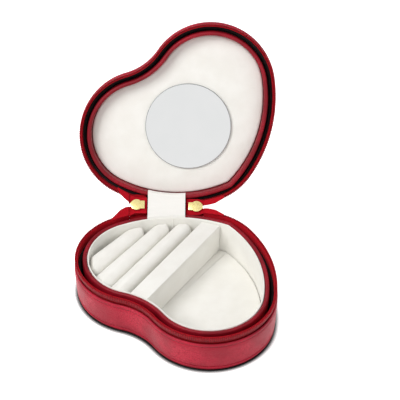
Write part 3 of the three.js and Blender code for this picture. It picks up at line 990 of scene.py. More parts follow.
@dataclass(frozen=True)
class CreamVelvet(Finish):
    """Short-napped cream lining cloth."""

    name: str = "velvet_nap"
    slot: str = "cream_velvet"
    nap: float = 0.09
    light: Colour = (0.93, 0.92, 0.875, 1.0)
    shade: Colour = (0.85, 0.83, 0.775, 1.0)

    def recipe(self) -> Recipe:
        """Fibres under soft clouds where the nap lies differently."""
        r = Recipe(self.name)
        fibre, cloud = r.noise(self.nap, 3.0), r.noise(9.0, 3.0)
        tone = cloud.ramp(0.3, 0.75) * 0.5 + fibre.ramp(0.25, 0.75) * 0.5
        return r.surface(
            Base_Color=r.mix(tone, self.shade, self.light),
            Roughness=0.88 + fibre * 0.1,
            Normal=r.bump(fibre + cloud * 0.6, 0.09),
            Sheen_Weight=0.25,
            Sheen_Roughness=0.5,
        )


@dataclass(frozen=True)
class StrapSatin(Finish):
    """Fine cream cloth of the hinge strap."""

    name: str = "strap_cloth"
    slot: str = "cream_velvet"
    thread: float = 0.34
    light: Colour = (0.9, 0.885, 0.85, 1.0)
    shade: Colour = (0.82, 0.8, 0.755, 1.0)

    def recipe(self) -> Recipe:
        """A close weave with fine ribs across the strap."""
        r = Recipe(self.name)
        x, y, z = r.axes()
        warp = (x * (math.tau / self.thread)).sine()
        weft = ((y * 0.5 + z) * (math.tau / self.thread)).sine()
        weave = warp * weft * 0.25 + 0.5 + r.noise(0.2) * 0.3
        return r.surface(
            Base_Color=r.mix(weave.ramp(0.2, 1.0), self.shade, self.light),
            Roughness=0.7 + weave * 0.1,
            Normal=r.bump(weave, 0.05),
            Sheen_Weight=0.2,
        )


@dataclass(frozen=True)
class SilveredGlass(Finish):
    """Face of the mirror."""

    name: str = "silvered_glass"
    slot: str = "mirror_glass"
    colour: Colour = (0.99, 0.995, 0.995, 1.0)
    clouded: Colour = (0.97, 0.98, 0.98, 1.0)

    def recipe(self) -> Recipe:
        """Silvering with the faintest clouding."""
        r = Recipe(self.name)
        cloud = r.noise(20.0, 2.0)
        return r.surface(
            Base_Color=r.mix(cloud.ramp(0.35, 0.7), self.colour, self.clouded),
            Metallic=1.0,
            Roughness=0.03 + r.noise(2.0).ramp(0.5, 0.8) * 0.03,
        )


@dataclass(frozen=True)
class GroundGlass(Finish):
    """Ground edge of the mirror."""

    name: str = "mirror_edge"
    slot: str = "mirror_glass"
    colour: Colour = (0.46, 0.48, 0.48, 1.0)
    shade: Colour = (0.3, 0.33, 0.33, 1.0)

    def recipe(self) -> Recipe:
        """Matt grey from the grinding."""
        r = Recipe(self.name)
        grit = r.noise(0.12, 3.0)
        return r.surface(
            Base_Color=r.mix(grit.ramp(0.3, 0.7), self.shade, self.colour),
            Metallic=0.4,
            Roughness=0.35 + grit * 0.2,
            Normal=r.bump(grit, 0.02),
        )


@dataclass(frozen=True)
class PaleGold(Finish):
    """Pale gold plating of the sliders and their pulls."""

    name: str = "gold_plating"
    slot: str = "pale_gold"
    colour: Colour = (0.97, 0.83, 0.37, 1.0)
    worn: Colour = (0.88, 0.7, 0.29, 1.0)

    def recipe(self) -> Recipe:
        """Polished metal with fine rubbing marks."""
        r = Recipe(self.name)
        rub, spot = r.noise(0.22, 3.0), r.noise(1.6, 2.0)
        return r.surface(
            Base_Color=r.mix(spot.ramp(0.45, 0.75), self.colour, self.worn),
            Metallic=1.0,
            Roughness=0.2 + rub * 0.12,
            Normal=r.bump(rub, 0.012),
        )


@dataclass(frozen=True)
class GreyBoard(Finish):
    """Pressed board inside the covers."""

    name: str = "pressed_board"
    slot: str = "grey_board"
    light: Colour = (0.42, 0.37, 0.29, 1.0)
    shade: Colour = (0.28, 0.24, 0.18, 1.0)

    def recipe(self) -> Recipe:
        """Flecked pulp."""
        r = Recipe(self.name)
        fleck = r.noise(0.5, 4.0)
        return r.surface(
            Base_Color=r.mix(fleck.ramp(0.35, 0.65), self.shade, self.light),
            Roughness=0.85 + fleck * 0.1,
            Normal=r.bump(fleck, 0.06),
        )


@dataclass(frozen=True)
class PaintedShadeBoard(GreyBoard):
    """Board painted near-black as painted shade where it shows in the gaps between the covers."""

    name: str = "painted_shade_board"
    # Near-black colours: painted shade in the deep gaps between the covers.
    light: Colour = (0.006, 0.001, 0.001, 1.0)
    shade: Colour = (0.003, 0.0005, 0.0005, 1.0)


@dataclass(frozen=True)
class SoftFoam(Finish):
    """Open foam inside the rolls and under the lid's leather."""

    name: str = "open_foam"
    slot: str = "soft_foam"
    light: Colour = (0.82, 0.76, 0.6, 1.0)
    shade: Colour = (0.5, 0.44, 0.3, 1.0)

    def recipe(self) -> Recipe:
        """Small open pores."""
        r = Recipe(self.name)
        pore = r.cells(0.5, feature="F1").ramp(0.1, 0.6)
        return r.surface(
            Base_Color=r.mix(pore, self.shade, self.light),
            Roughness=0.95 - pore * 0.05,
            Normal=r.bump(pore, 0.15),
        )


@dataclass(frozen=True)
class StudioFloor(Finish):
    """White floor that shows as white, with a painted contact shadow under the case from an ambient occlusion mask."""

    name: str = "studio_floor"
    slot: str = ""
    colour: Colour = (0.8, 0.8, 0.8, 1.0)
    shadow_reach: float = 0.0045

    def recipe(self) -> Recipe:
        """Lit paper, lifted to white for what the camera, metal and glass see, with a painted contact shadow near the
        case.
        """
        r = Recipe(self.name)
        seen = r.node("ShaderNodeLightPath", output="Is Camera Ray")
        shone = r.node("ShaderNodeLightPath", output="Is Glossy Ray")
        through = r.node("ShaderNodeLightPath", output="Is Transmission Ray")
        # An ambient occlusion mask paints the contact shadow: close to the case it dims the white glow and blends in
        # near-black paper.
        near = r.node(
            "ShaderNodeAmbientOcclusion", {"Distance": self.shadow_reach}, output="AO", samples=16
        )
        open_floor = near.ramp(0.45, 0.98)
        paper = r.node("ShaderNodeBsdfDiffuse", {"Color": self.colour})
        glow = r.node(
            "ShaderNodeEmission",
            {"Color": (1.0, 1.0, 1.0, 1.0), "Strength": open_floor * (seen + shone + through)},
        )
        # Near-black paper for the painted contact shadow.
        dark = r.node("ShaderNodeBsdfDiffuse", {"Color": (0.02, 0.02, 0.02, 1.0)})
        shaded = r.node("ShaderNodeMixShader", {0: open_floor, 1: dark, 2: paper})
        return r.end(r.node("ShaderNodeAddShader", {0: shaded, 1: glow}))


@dataclass(frozen=True)
class Finishes:
    """The shelf of finishes that the case wears."""

    leather: Finish = GrainedLeather()
    collar: Finish = ShadedCollarLeather()
    tape: Finish = WovenTape()
    coil: Finish = NylonCoil()
    cord: Finish = ShadedCoilCord()
    thread: Finish = SewingThread()
    velvet: Finish = CreamVelvet()
    strap: Finish = StrapSatin()
    mirror: Finish = SilveredGlass()
    glass_edge: Finish = GroundGlass()
    gold: Finish = PaleGold()
    board: Finish = GreyBoard()
    painted_shade_board: Finish = PaintedShadeBoard()
    foam: Finish = SoftFoam()
    floor: Finish = StudioFloor()


@dataclass
class SubAssembly:
    """A group of pieces with the sizes and finishes that it shares with the others."""

    sizes: CaseSizes
    finishes: Finishes

    def round_route(self, fineness: float = 1.0) -> HeartRoute:
        """The outline of the leather."""
        return HeartRoute(self.sizes, self.sizes.tip_radius, fineness)

    def pointed_route(self, fineness: float = 1.0) -> HeartRoute:
        """The outline of the collar and the linings, sharper at the tip."""
        return HeartRoute(self.sizes, self.sizes.collar_tip, fineness)

    def hand_over(
        self, bench: Bench, body: str, finish: Finish, replaces: Sequence[str] = ()
    ) -> bpy.types.Object:
        """Dresses a finished piece and says what it rides on and stands for.

        Args:
            bench: The bench with the piece in its place.
            body: The body that it rides on.
            finish: What it wears.
            replaces: The CAD nodes that it stands for.

        Returns:
            The piece.
        """
        at_rest()
        bench.obj.data.materials.clear()
        bench.obj.data.materials.append(finish.material())
        if body:
            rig.ride(bench.obj, body)
        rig.slot(bench.obj, finish.slot)
        if replaces:
            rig.replaces(bench.obj, *replaces)
        log.info("%s: %d faces, on %s", bench.obj.name, len(bench.obj.data.polygons), body or "both")
        return bench.obj


@dataclass
class HalfShell(SubAssembly):
    """Leather shell, zip and collar of one half."""

    half: Half = Half.BASE
    edge: float = 2.4
    collar_inner_skirt: float = 8.0
    collar_outer_skirt: float = 12.0
    stitch_below_hem: float = 1.75
    stitch_pitch: float = 2.7
    tooth_pitch: float = 1.05
    tape_inset: float = 1.5
    tape_width: float = 0.4
    tape_tuck: float = 3.6
    tooth_foot: float = 3.0
    window_half: float = 4.7
    window_depth: float = 3.75
    window_span: tuple[float, float] = (20.0, 70.0)
    strip_half: float = 4.75
    strip_depths: tuple[float, float] = (0.85, 3.85)
    strip_drops: tuple[float, float] = (0.45, 0.2)
    fold_from: float = 3.5
    fold_overlap: float = 0.4

    @property
    def way(self) -> int:
        """Which way is deeper when the case is shut."""
        return -1 if self.half is Half.BASE else 1

    @property
    def height(self) -> float:
        """Depth of the outer face."""
        return self.sizes.height(self.half)

    def at_tip(self, route: HeartRoute, profile: Profile) -> list[Point]:
        """A profile of insets and depths, standing at the heart's tip."""
        return [(route.start(inset), 0.0, self.way * depth) for inset, depth in profile]

    def ring(self, name: str, route: HeartRoute, profile: Profile) -> Bench:
        """Sweeps a closed profile round the heart and turns it into the plan."""
        bench = Bench.line(name, self.at_tip(route, profile), closed=True)
        return bench.around(route).outwards().fixed(self.sizes.plan_turn())

    def placed(self, bench: Bench, finish: Finish, replaces: Sequence[str] = ()) -> None:
        """Takes a piece to its half and hands it over."""
        bench.fixed(self.sizes.in_frame(self.half))
        self.hand_over(bench, self.half.value, finish, replaces)

    def crowned(self, bench: Bench, depth: float) -> None:
        """Closes the loop at a depth with a gently crowned plate.

        Args:
            bench: The bench with the shell's edge on it.
            depth: The depth of the loop.
        """
        crown = self.sizes.lid_crown if self.half is Half.LID else 0.0
        bench.pick(lambda p: abs(abs(p.z) - depth) < 0.02)
        before = 1.0
        for share in (0.93, 0.86, 0.78, 0.69, 0.58, 0.46, 0.32, 0.17):
            bench.extrude((0.0, 0.0, self.way * crown * (before**2 - share**2)))
            bench.resize((share / before, share / before, 1.0), (0.0, 0.0, 0.0))
            before = share
        bench.extrude((0.0, 0.0, self.way * crown * before**2))
        bpy.ops.mesh.merge(type="CENTER")

    def outer_cover(self) -> None:
        """Leather over the flat face, turned up round the edge."""
        s, out, edge = self.sizes, self.height, self.edge
        route = self.round_route()
        lip = out - s.cover_turn
        steps = [math.radians(a) for a in (0.0, 22.5, 45.0, 67.5, 90.0)]
        outside = [(edge * (1 - math.sin(a)), out - edge * (1 - math.cos(a))) for a in steps]
        inner = max(edge - s.leather, 0.0)
        inside = [
            (s.leather + inner * (1 - math.sin(a)), out - s.leather - inner * (1 - math.cos(a)))
            for a in (reversed(steps) if inner else steps[:1])
        ]
        inside[0 if not inner else -1] = (s.leather + inner, out - s.leather)
        turned = [
            (0.0, lip + 0.3), (0.08, lip + 0.12), (0.3, lip), (0.7, lip), (s.leather, lip + 0.1),
        ]
        profile = [
            (s.leaning(self.half, inset, depth), depth)
            for inset, depth in (*outside, *turned, *inside)
        ]
        bench = Bench.line(f"{self.half.value}_outer_leather", self.at_tip(route, profile))
        bench.around(route)
        self.crowned(bench, out)
        self.crowned(bench, out - s.leather)
        bench.outwards().fixed(s.plan_turn()).smooth(50)
        node = "base_bottom_cover" if self.half is Half.BASE else "lid_top_cover"
        self.placed(bench, self.finishes.leather, [node])

    def side_cover(self) -> None:
        """Leather round the side wall, with its hem rolled over at the zip and sewn down."""
        s = self.sizes
        end = self.height - s.cover_turn - s.seat
        hem = s.hem_below_zip
        sewn = hem + self.stitch_below_hem
        wall = [
            (-0.12, sewn + (end - sewn) * share) for share in (0.2, 0.4, 0.6, 0.8) if end > 12.0
        ]
        profile = [
            (0.9, end),
            (0.9, hem + 2.35),
            (1.2, hem + 2.1),
            (1.2, hem + 0.5),
            (1.08, hem + 0.16),
            (0.78, hem),
            (0.42, hem + 0.08),
            (0.14, hem + 0.34),
            (0.0, hem + 0.8),
            (-0.02, sewn - 0.4),
            (0.06, sewn - 0.16),
            (0.26, sewn),
            (0.06, sewn + 0.16),
            (-0.06, sewn + 0.45),
            *wall,
            (0.0, end - 0.5),
            (0.12, end - 0.12),
            (0.4, end),
        ]
        profile = [(s.leaning(self.half, inset, depth), depth) for inset, depth in profile]
        bench = self.ring(f"{self.half.value}_side_leather", self.round_route(), profile)
        self.placed(bench.smooth(50), self.finishes.leather, [f"{self.half.value}_side_cover"])

    def hem_stitches(self) -> None:
        """Thread that shows in short stitches along the hem."""
        route = self.round_route()
        depth = self.way * (self.sizes.hem_below_zip + self.stitch_below_hem)
        path = Bench.line("stitch_path", [(route.start(0.1), 0.0, depth)]).around(route).outwards()
        path.fixed(self.sizes.plan_turn())
        self.open_at_back(path, -0.2, 0.2)
        stitch = Bench.ball(f"{self.half.value}_hem_stitches", (2.1, 0.34, 0.34), 8, 6)
        stitch.fixed(Matrix.Translation((1.3, 0.0, 0.0)))
        stitch.along(path.as_path(), self.stitch_pitch)
        self.placed(stitch.smooth(60), self.finishes.thread)

    def open_at_back(self, bench: Bench, left: float, right: float) -> None:
        """Takes a stretch out of a ring behind the hinge.

        Args:
            bench: The bench with the ring, already in plan.
            left: Where the stretch starts along the hinge.
            right: Where it ends.
        """
        for edge in (left, right):
            bench.pick(lambda p: p.y > 35.0)
            bench.halve((edge, 0.0, 0.0), (1.0, 0.0, 0.0), clear=False)
        bench.pick(lambda p: p.y > 35.0 and left + 1e-3 < p.x < right - 1e-3)
        if not any(v.select for v in bench.obj.data.vertices):
            bench.pick(lambda p: p.y > 35.0 and left - 1e-3 < p.x < right + 1e-3)
            bench.delete("EDGE")
        else:
            bench.delete("VERT")

    def zipper_tape(self) -> None:
        """Woven band behind the coil, cut away where the sliders sit."""
        s = self.sizes
        low, inner = s.hem_below_zip + self.tape_tuck, self.tape_inset + self.tape_width
        profile = [
            (self.tape_inset + 0.5, low),
            (self.tape_inset + 0.5, 5.0),
            (self.tape_inset + 0.1, 4.5),
            (self.tape_inset, 4.1),
            (self.tape_inset - 0.06, 3.4),
            (self.tape_inset, 0.75),
            (self.tape_inset + 0.1, 0.6),
            (inner - 0.1, 0.6),
            (inner, 0.75),
            (inner, 4.5),
            (inner + 0.26, 5.0),
            (inner + 0.26, low),
        ]
        bench = self.ring(f"{self.half.value}_woven_tape", self.round_route(), profile)
        windows, strips = [], []
        front, back = self.window_span
        for slider in (s.left_slider, s.right_slider):
            left, right = slider.middle - self.window_half, slider.middle + self.window_half
            low_z, high_z = sorted((0.0, self.way * self.window_depth))
            windows.append(Bench.block("window", (left, front, low_z - 0.5), (right, back, high_z)))
            strips += self.straight_tape(slider)
        bench.cut_by(*windows)
        bench.joined(*strips)
        self.placed(bench.smooth(40), self.finishes.tape, [f"{self.half.value}_zipper_tape"])

    def straight_tape(self, slider: SliderPlace) -> list[Bench]:
        """The tape where it runs straight through a slider, and its fold below.

        Args:
            slider: The slider's place.

        Returns:
            The strip and the fold.
        """
        channel = self.sizes.hinge_y - slider.reach
        left, right = slider.middle - self.strip_half, slider.middle + self.strip_half
        front, back = (channel - drop for drop in self.strip_drops)
        top, bottom = self.strip_depths
        near, far = sorted((self.way * top, self.way * bottom))
        ledge, foot = sorted((self.way * self.fold_from, self.way * bottom))
        ahead = left if slider.middle < 0.0 else right
        inwards = self.round_route().back_at(ahead, self.tape_inset) - self.fold_overlap
        return [
            Bench.block("strip", (left, front, near), (right, back, far)),
            Bench.block("fold", (left, inwards, ledge), (right, back, foot)),
        ]

    def zipper_coil(self) -> None:
        """Coil along the tape's edge: a row of rounded teeth on a cord."""
        s, route = self.sizes, self.round_route()
        cord = self.ring(
            f"{self.half.value}_zip_cord",
            route,
            [(0.62, 3.25), (0.56, 2.4), (0.62, 0.6), (1.0, 0.5), (1.06, 2.4), (1.0, 3.25)],
        )
        self.open_at_back(cord, s.zip_end_left, s.zip_end_right)
        for end in (s.zip_end_left, s.zip_end_right):
            cord.pick(lambda p: p.y > 35.0 and abs(p.x - end) < 0.01).fill()
        path = Bench.line("coil_path", [(route.start(0.8), 0.0, 0.0)]).around(route).outwards()
        path.fixed(s.plan_turn())
        self.open_at_back(path, s.zip_end_left, s.zip_end_right)
        foot = self.tooth_foot
        shape = [
            (-0.34, foot), (-0.42, 1.0), (-0.56, 0.62), (-0.42, 0.2),
            (0.42, 0.2), (0.56, 0.62), (0.42, 1.0), (0.34, foot),
        ]
        tooth = Bench.line(
            f"{self.half.value}_zip_teeth", [(0.15, y, self.way * z) for y, z in shape], closed=True
        )
        tooth.edit().fill().edit().extrude((0.7, 0.0, 0.0))
        tooth.outwards().bevel(0.17, 1, 60)
        tooth.along(path.as_path(), self.tooth_pitch)
        self.placed(cord.outwards().smooth(50), self.finishes.cord)
        self.placed(tooth.smooth(50), self.finishes.coil, [f"{self.half.value}_zipper_coil"])

    def collar(self) -> None:
        """Leather over the wall inside the zip, highest near its inner edge."""
        s = self.sizes
        top, outer, inner = s.collar_below_zip, s.collar_inset, s.rim_width
        outer_foot, inner_foot = top + self.collar_outer_skirt, top + self.collar_inner_skirt
        profile = [
            (outer, outer_foot),
            (outer, top + 1.6),
            (outer + 0.05, top + 0.9),
            (outer + 0.22, top + 0.45),
            (outer + 0.5, top + 0.15),
            (outer + 0.85, top + 0.02),
            (outer + 1.2, top),
            (outer + 1.6, top + 0.06),
            (inner - 0.4, top + 0.25),
            (inner - 0.12, top + 0.6),
            (inner, top + 1.1),
            (inner, inner_foot),
            (inner - 0.5, inner_foot),
            (inner - 0.5, top + 1.2),
            (inner - 0.75, top + 0.75),
            (outer + 1.2, top + 0.55),
            (outer + 0.75, top + 0.75),
            (outer + 0.5, top + 1.4),
            (outer + 0.5, outer_foot),
        ]
        bench = self.ring(f"{self.half.value}_collar_leather", self.pointed_route(), profile)
        self.placed(bench.smooth(50), self.finishes.collar, [f"{self.half.value}_collar_cover"])

    def build(self) -> None:
        """Builds the half from the outside in."""
        self.outer_cover()
        self.side_cover()
        self.hem_stitches()
        self.zipper_tape()
        self.zipper_coil()
        self.collar()


@dataclass
class BaseFittings(SubAssembly):
    """Linings, divider and ring rolls in the base."""

    divider_aside: float = 2.0
    divider_width: float = 10.7
    divider_top: float = 23.5
    rolls: int = 3
    roll_start: float = 16.1
    roll_pitch: float = 11.0
    roll_top: float = 22.4
    roll_crown: float = 5.2
    roll_end_crown: float = 3.0
    roll_corner: float = 3.5
    roll_corner_least: float = 0.2
    roll_fan: float = 7.0
    roll_fan_along: float = 12.0
    seam_x: float = -2.0

    def in_plan(self, bench: Bench, extra: float = 0.0) -> Bench:
        """Turns a piece whose heights are above the table into the frame."""
        return bench.fixed(Matrix.Scale(MM, 4) @ self.sizes.plan_turn(extra))

    def wall_lining(self) -> None:
        """Cream cloth on the inside of the wall, rolled over at its top, with its seam."""
        s, route = self.sizes, self.pointed_route()
        top = s.base_height - s.collar_below_zip - 0.3
        outer, inner = s.lining_inset, s.lining_inset + s.velvet
        profile = [
            (outer, s.floor_bottom),
            (outer, top - 0.2),
            (outer + 0.2, top),
            (outer + 0.55, top),
            (inner - 0.04, top - 0.25),
            (inner, top - 0.6),
            (inner + 0.05, (top + s.floor_top) / 2),
            (inner, s.floor_bottom),
        ]
        points = [(route.start(inset), 0.0, z) for inset, z in profile]
        bench = Bench.line("base_wall_velvet", points, closed=True).around(route).outwards()
        self.in_plan(bench)
        back = route.back_at(self.seam_x, inner)
        seam = Bench.disc(
            "seam", 0.42, top - s.floor_top - 0.8, (self.seam_x, back, (top + s.floor_top) / 2), 10
        )
        seam.bevel(0.12, 2).fixed(Matrix.Scale(MM, 4))
        bench.joined(seam).smooth(45)
        self.hand_over(bench, "base", self.finishes.velvet, ["base_wall_lining"])

    def floor_pad(self) -> None:
        """Thin padded floor, rounded over at its rim."""
        s, route = self.sizes, self.pointed_route()
        inset, low, top = s.contents_inset, s.floor_bottom, s.floor_top
        profile = [
            (inset + 0.2, low), (inset, low + 0.3), (inset, top - 0.7), (inset + 0.15, top - 0.35),
            (inset + 0.5, top - 0.12), (inset + 1.2, top - 0.03), (inset + 2.5, top),
        ]
        points = [(route.start(i), 0.0, z) for i, z in profile]
        bench = Bench.line("base_floor_velvet", points).around(route)
        bench.pick(lambda p: abs(p.z - top) < 1e-3).fill()
        bench.pick(lambda p: abs(p.z - low) < 1e-3).fill()
        self.in_plan(bench.outwards())
        self.hand_over(bench.smooth(50), "base", self.finishes.velvet, ["base_floor_lining"])
        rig.padded(bench.obj, fill=0.7)

    def divider(self) -> None:
        """Upright board in cream cloth across the base, between the rolls and the open side."""
        s, route = self.sizes, self.pointed_route()
        low = s.floor_top + s.seat
        start = (route.start(s.contents_inset), 0.0, low)
        bench = Bench.line("divider_velvet", [start]).around(route).outwards()
        bench.edit().fill().edit().extrude((0.0, 0.0, self.divider_top - low))
        bench.outwards().fixed(Matrix.Rotation(-math.radians(s.fittings_turn), 4, "Z"))
        right, left = self.divider_aside, self.divider_aside + self.divider_width
        bench.edit().halve((0.0, right, 0.0), (0.0, -1.0, 0.0), fill=True)
        bench.edit().halve((0.0, left, 0.0), (0.0, 1.0, 0.0), fill=True)
        bench.outwards().bevel(0.9, 4, 50)
        self.in_plan(bench.outwards(), s.fittings_turn)
        self.hand_over(bench.smooth(40), "base", self.finishes.velvet, ["divider_cover"])

    def roll_side(self, place: int, inset: float) -> tuple[Vector, Vector]:
        """A side of a roll, as it fans out from the divider.

        Args:
            place: The side's place, counted from the divider.
            inset: How far left of that side the line lies.

        Returns:
            A point on the line, and the way that it runs.
        """
        turn = -math.radians(self.roll_fan) * (place / self.rolls) ** 2
        along = Vector((math.cos(turn), math.sin(turn)))
        start = Vector((self.roll_fan_along, self.roll_start + self.roll_pitch * place))
        return start + Vector((-along.y, along.x)) * inset, along

    def roll_outline(self, place: int, aside: float, ahead: float) -> list[Vector]:
        """Outline of a roll whose ends follow the wall, with round corners.

        Args:
            place: The roll's place, counted from the divider.
            aside: How far its sides are drawn in.
            ahead: How far its ends are drawn in.

        Returns:
            Points in the fittings' own plan, to the left all round.
        """
        s = self.sizes
        corner = max(self.roll_corner - aside, self.roll_corner_least)
        turn = Matrix.Rotation(-math.radians(s.fittings_turn), 2)
        sides = [
            (-1, *self.roll_side(place, s.seat / 2 + aside + corner)),
            (1, *self.roll_side(place + 1, -s.seat / 2 - aside - corner)),
        ]
        walls = [
            (1, turn @ self.round_route().flank_centre(), s.flank_radius, sides),
            (-1, turn @ Vector((0.0, s.lobe_spread)), s.lobe_radius, sides[::-1]),
        ]
        points = []
        for sign, centre, radius, ordered in walls:
            reach = radius - s.contents_inset - ahead - corner
            turns, corners = [], []
            for outwards, start, along in ordered:
                offset = start - centre
                middle = -offset.dot(along)
                far = math.sqrt(middle**2 - offset.length_squared + reach**2)
                corners.append(start + along * (middle + sign * far))
                spoke = corners[-1] - centre
                turns.append((
                    math.atan2(along.x * outwards, -along.y * outwards),
                    math.atan2(spoke.y, spoke.x),
                ))
            headings = [turns[0][0]]
            for heading in (turns[0][1], turns[1][1], turns[1][0]):
                laps = math.ceil((headings[-1] - heading) / math.tau - 1e-9)
                headings.append(heading + math.tau * laps)
            hubs = [(corners[0], corner, 6), (centre, reach + corner, 10), (corners[1], corner, 6)]
            for (hub, size, steps), begin, end in zip(hubs, headings, headings[1:]):
                for step in range(steps):
                    angle = begin + (end - begin) * step / steps
                    points.append(hub + Vector((math.cos(angle), math.sin(angle))) * size)
            last = headings[-1]
            points.append(corners[1] + Vector((math.cos(last), math.sin(last))) * corner)
        return points

    def roll(self, number: int) -> None:
        """One padded roll with a round top, from one wall to the other.

        Args:
            number: Its number from the wall inwards.
        """
        place = self.rolls - number
        low, half = self.sizes.floor_top + self.sizes.seat, self.roll_pitch / 2 - 0.15
        shoulder = self.roll_top - self.roll_crown
        levels = [(0.9, 0.9, low), (0.35, 0.35, low + 0.5), (0.1, 0.1, low + 2.0)]
        levels += [(0.0, 0.0, (low + shoulder) / 2), (0.0, 0.0, shoulder)]
        for turned in (12, 24, 36, 48, 60, 71, 81):
            drawn = 1.0 - math.cos(math.radians(turned))
            rise = self.roll_crown * math.sin(math.radians(turned))
            levels.append((half * drawn, self.roll_end_crown * drawn, shoulder + rise))
        rings = [
            Bench.line(
                f"ring_roll_{number}_velvet",
                [(p.x, p.y, z) for p in self.roll_outline(place, aside, ahead)],
                closed=True,
            )
            for aside, ahead, z in levels
        ]
        bench = rings[0].joined(*rings[1:])
        heights = [z for _, _, z in levels]
        for below, above in zip(heights, heights[1:]):
            bench.pick(lambda p: min(abs(p.z - below), abs(p.z - above)) < 0.01)
            bpy.ops.mesh.bridge_edge_loops()
        for end in (heights[0], heights[-1]):
            bench.pick(lambda p: abs(p.z - end) < 0.01).fill()
        self.in_plan(bench.outwards(), self.sizes.fittings_turn)
        node = f"ring_roll_{number}_cover"
        self.hand_over(bench.smooth(60), "base", self.finishes.velvet, [node])
        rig.padded(bench.obj, fill=0.9)

    def build(self) -> None:
        """Builds the fittings from the outside in."""
        self.wall_lining()
        self.floor_pad()
        self.divider()
        for number in range(1, self.rolls + 1):
            self.roll(number)


@dataclass
class LidFittings(SubAssembly):
    """Panel and mirror in the lid."""

    panel_below_zip: float = 7.7
    panel_foot: float = 10.1
    mirror_radius: float = 25.4
    mirror_thickness: float = 1.45
    mirror_along: float = 11.3
    mirror_bevel: float = 0.4

    def panel(self) -> None:
        """Cream cloth over the lid's inner board."""
        s, route = self.sizes, self.pointed_route()
        inset, face = s.lining_inset, self.panel_below_zip
        profile = [
            (inset, self.panel_foot), (inset, face + 0.9), (inset + 0.1, face + 0.5),
            (inset + 0.35, face + 0.2), (inset + 0.8, face + 0.04), (inset + 1.6, face),
        ]
        points = [(route.start(i), 0.0, z) for i, z in profile]
        bench = Bench.line("lid_panel_velvet", points).around(route)
        bench.pick(lambda p: abs(p.z - face) < 1e-3).fill()
        bench.outwards().modify("SOLIDIFY", thickness=0.7, offset=-1.0)
        bench.fixed(s.in_frame(Half.LID) @ s.plan_turn())
        self.hand_over(bench.smooth(50), "lid", self.finishes.velvet, ["lid_panel_cover"])

    def mirror(self) -> None:
        """Round mirror with a narrow ground bevel."""
        s = self.sizes
        thick = self.mirror_thickness
        face = self.panel_below_zip - 0.05 - thick
        bench = Bench.disc(
            "mirror_disc", self.mirror_radius, thick, (0.0, 0.0, face + thick / 2), 96
        )
        bench.pick(lambda p: p.z < face + 0.01)
        bpy.ops.mesh.inset(thickness=self.mirror_bevel, depth=0.0)
        bench.pick(lambda p: p.z < face + 0.01 and p.xy.length > self.mirror_radius - 0.01)
        bench.shift((0.0, 0.0, 0.3))
        bench.outwards().fixed(Matrix.Translation((self.mirror_along, 0.0, 0.0)))
        bench.fixed(s.in_frame(Half.LID) @ s.plan_turn())
        piece = self.hand_over(bench.smooth(12), "lid", self.finishes.mirror, ["mirror"])
        piece.data.materials.append(self.finishes.glass_edge.material())
        largest = max(piece.data.polygons, key=lambda f: (round(f.area * 1e6), -f.center.z))
        ahead = s.in_frame(Half.LID).to_3x3() @ Vector((0.0, 0.0, -1.0))
        for face_of in piece.data.polygons:
            flat = face_of.normal.dot(ahead.normalized()) > 0.99
            face_of.material_index = 0 if flat or face_of is largest else 1

    def build(self) -> None:
        """Builds the lid's fittings."""
        self.panel()
        self.mirror()


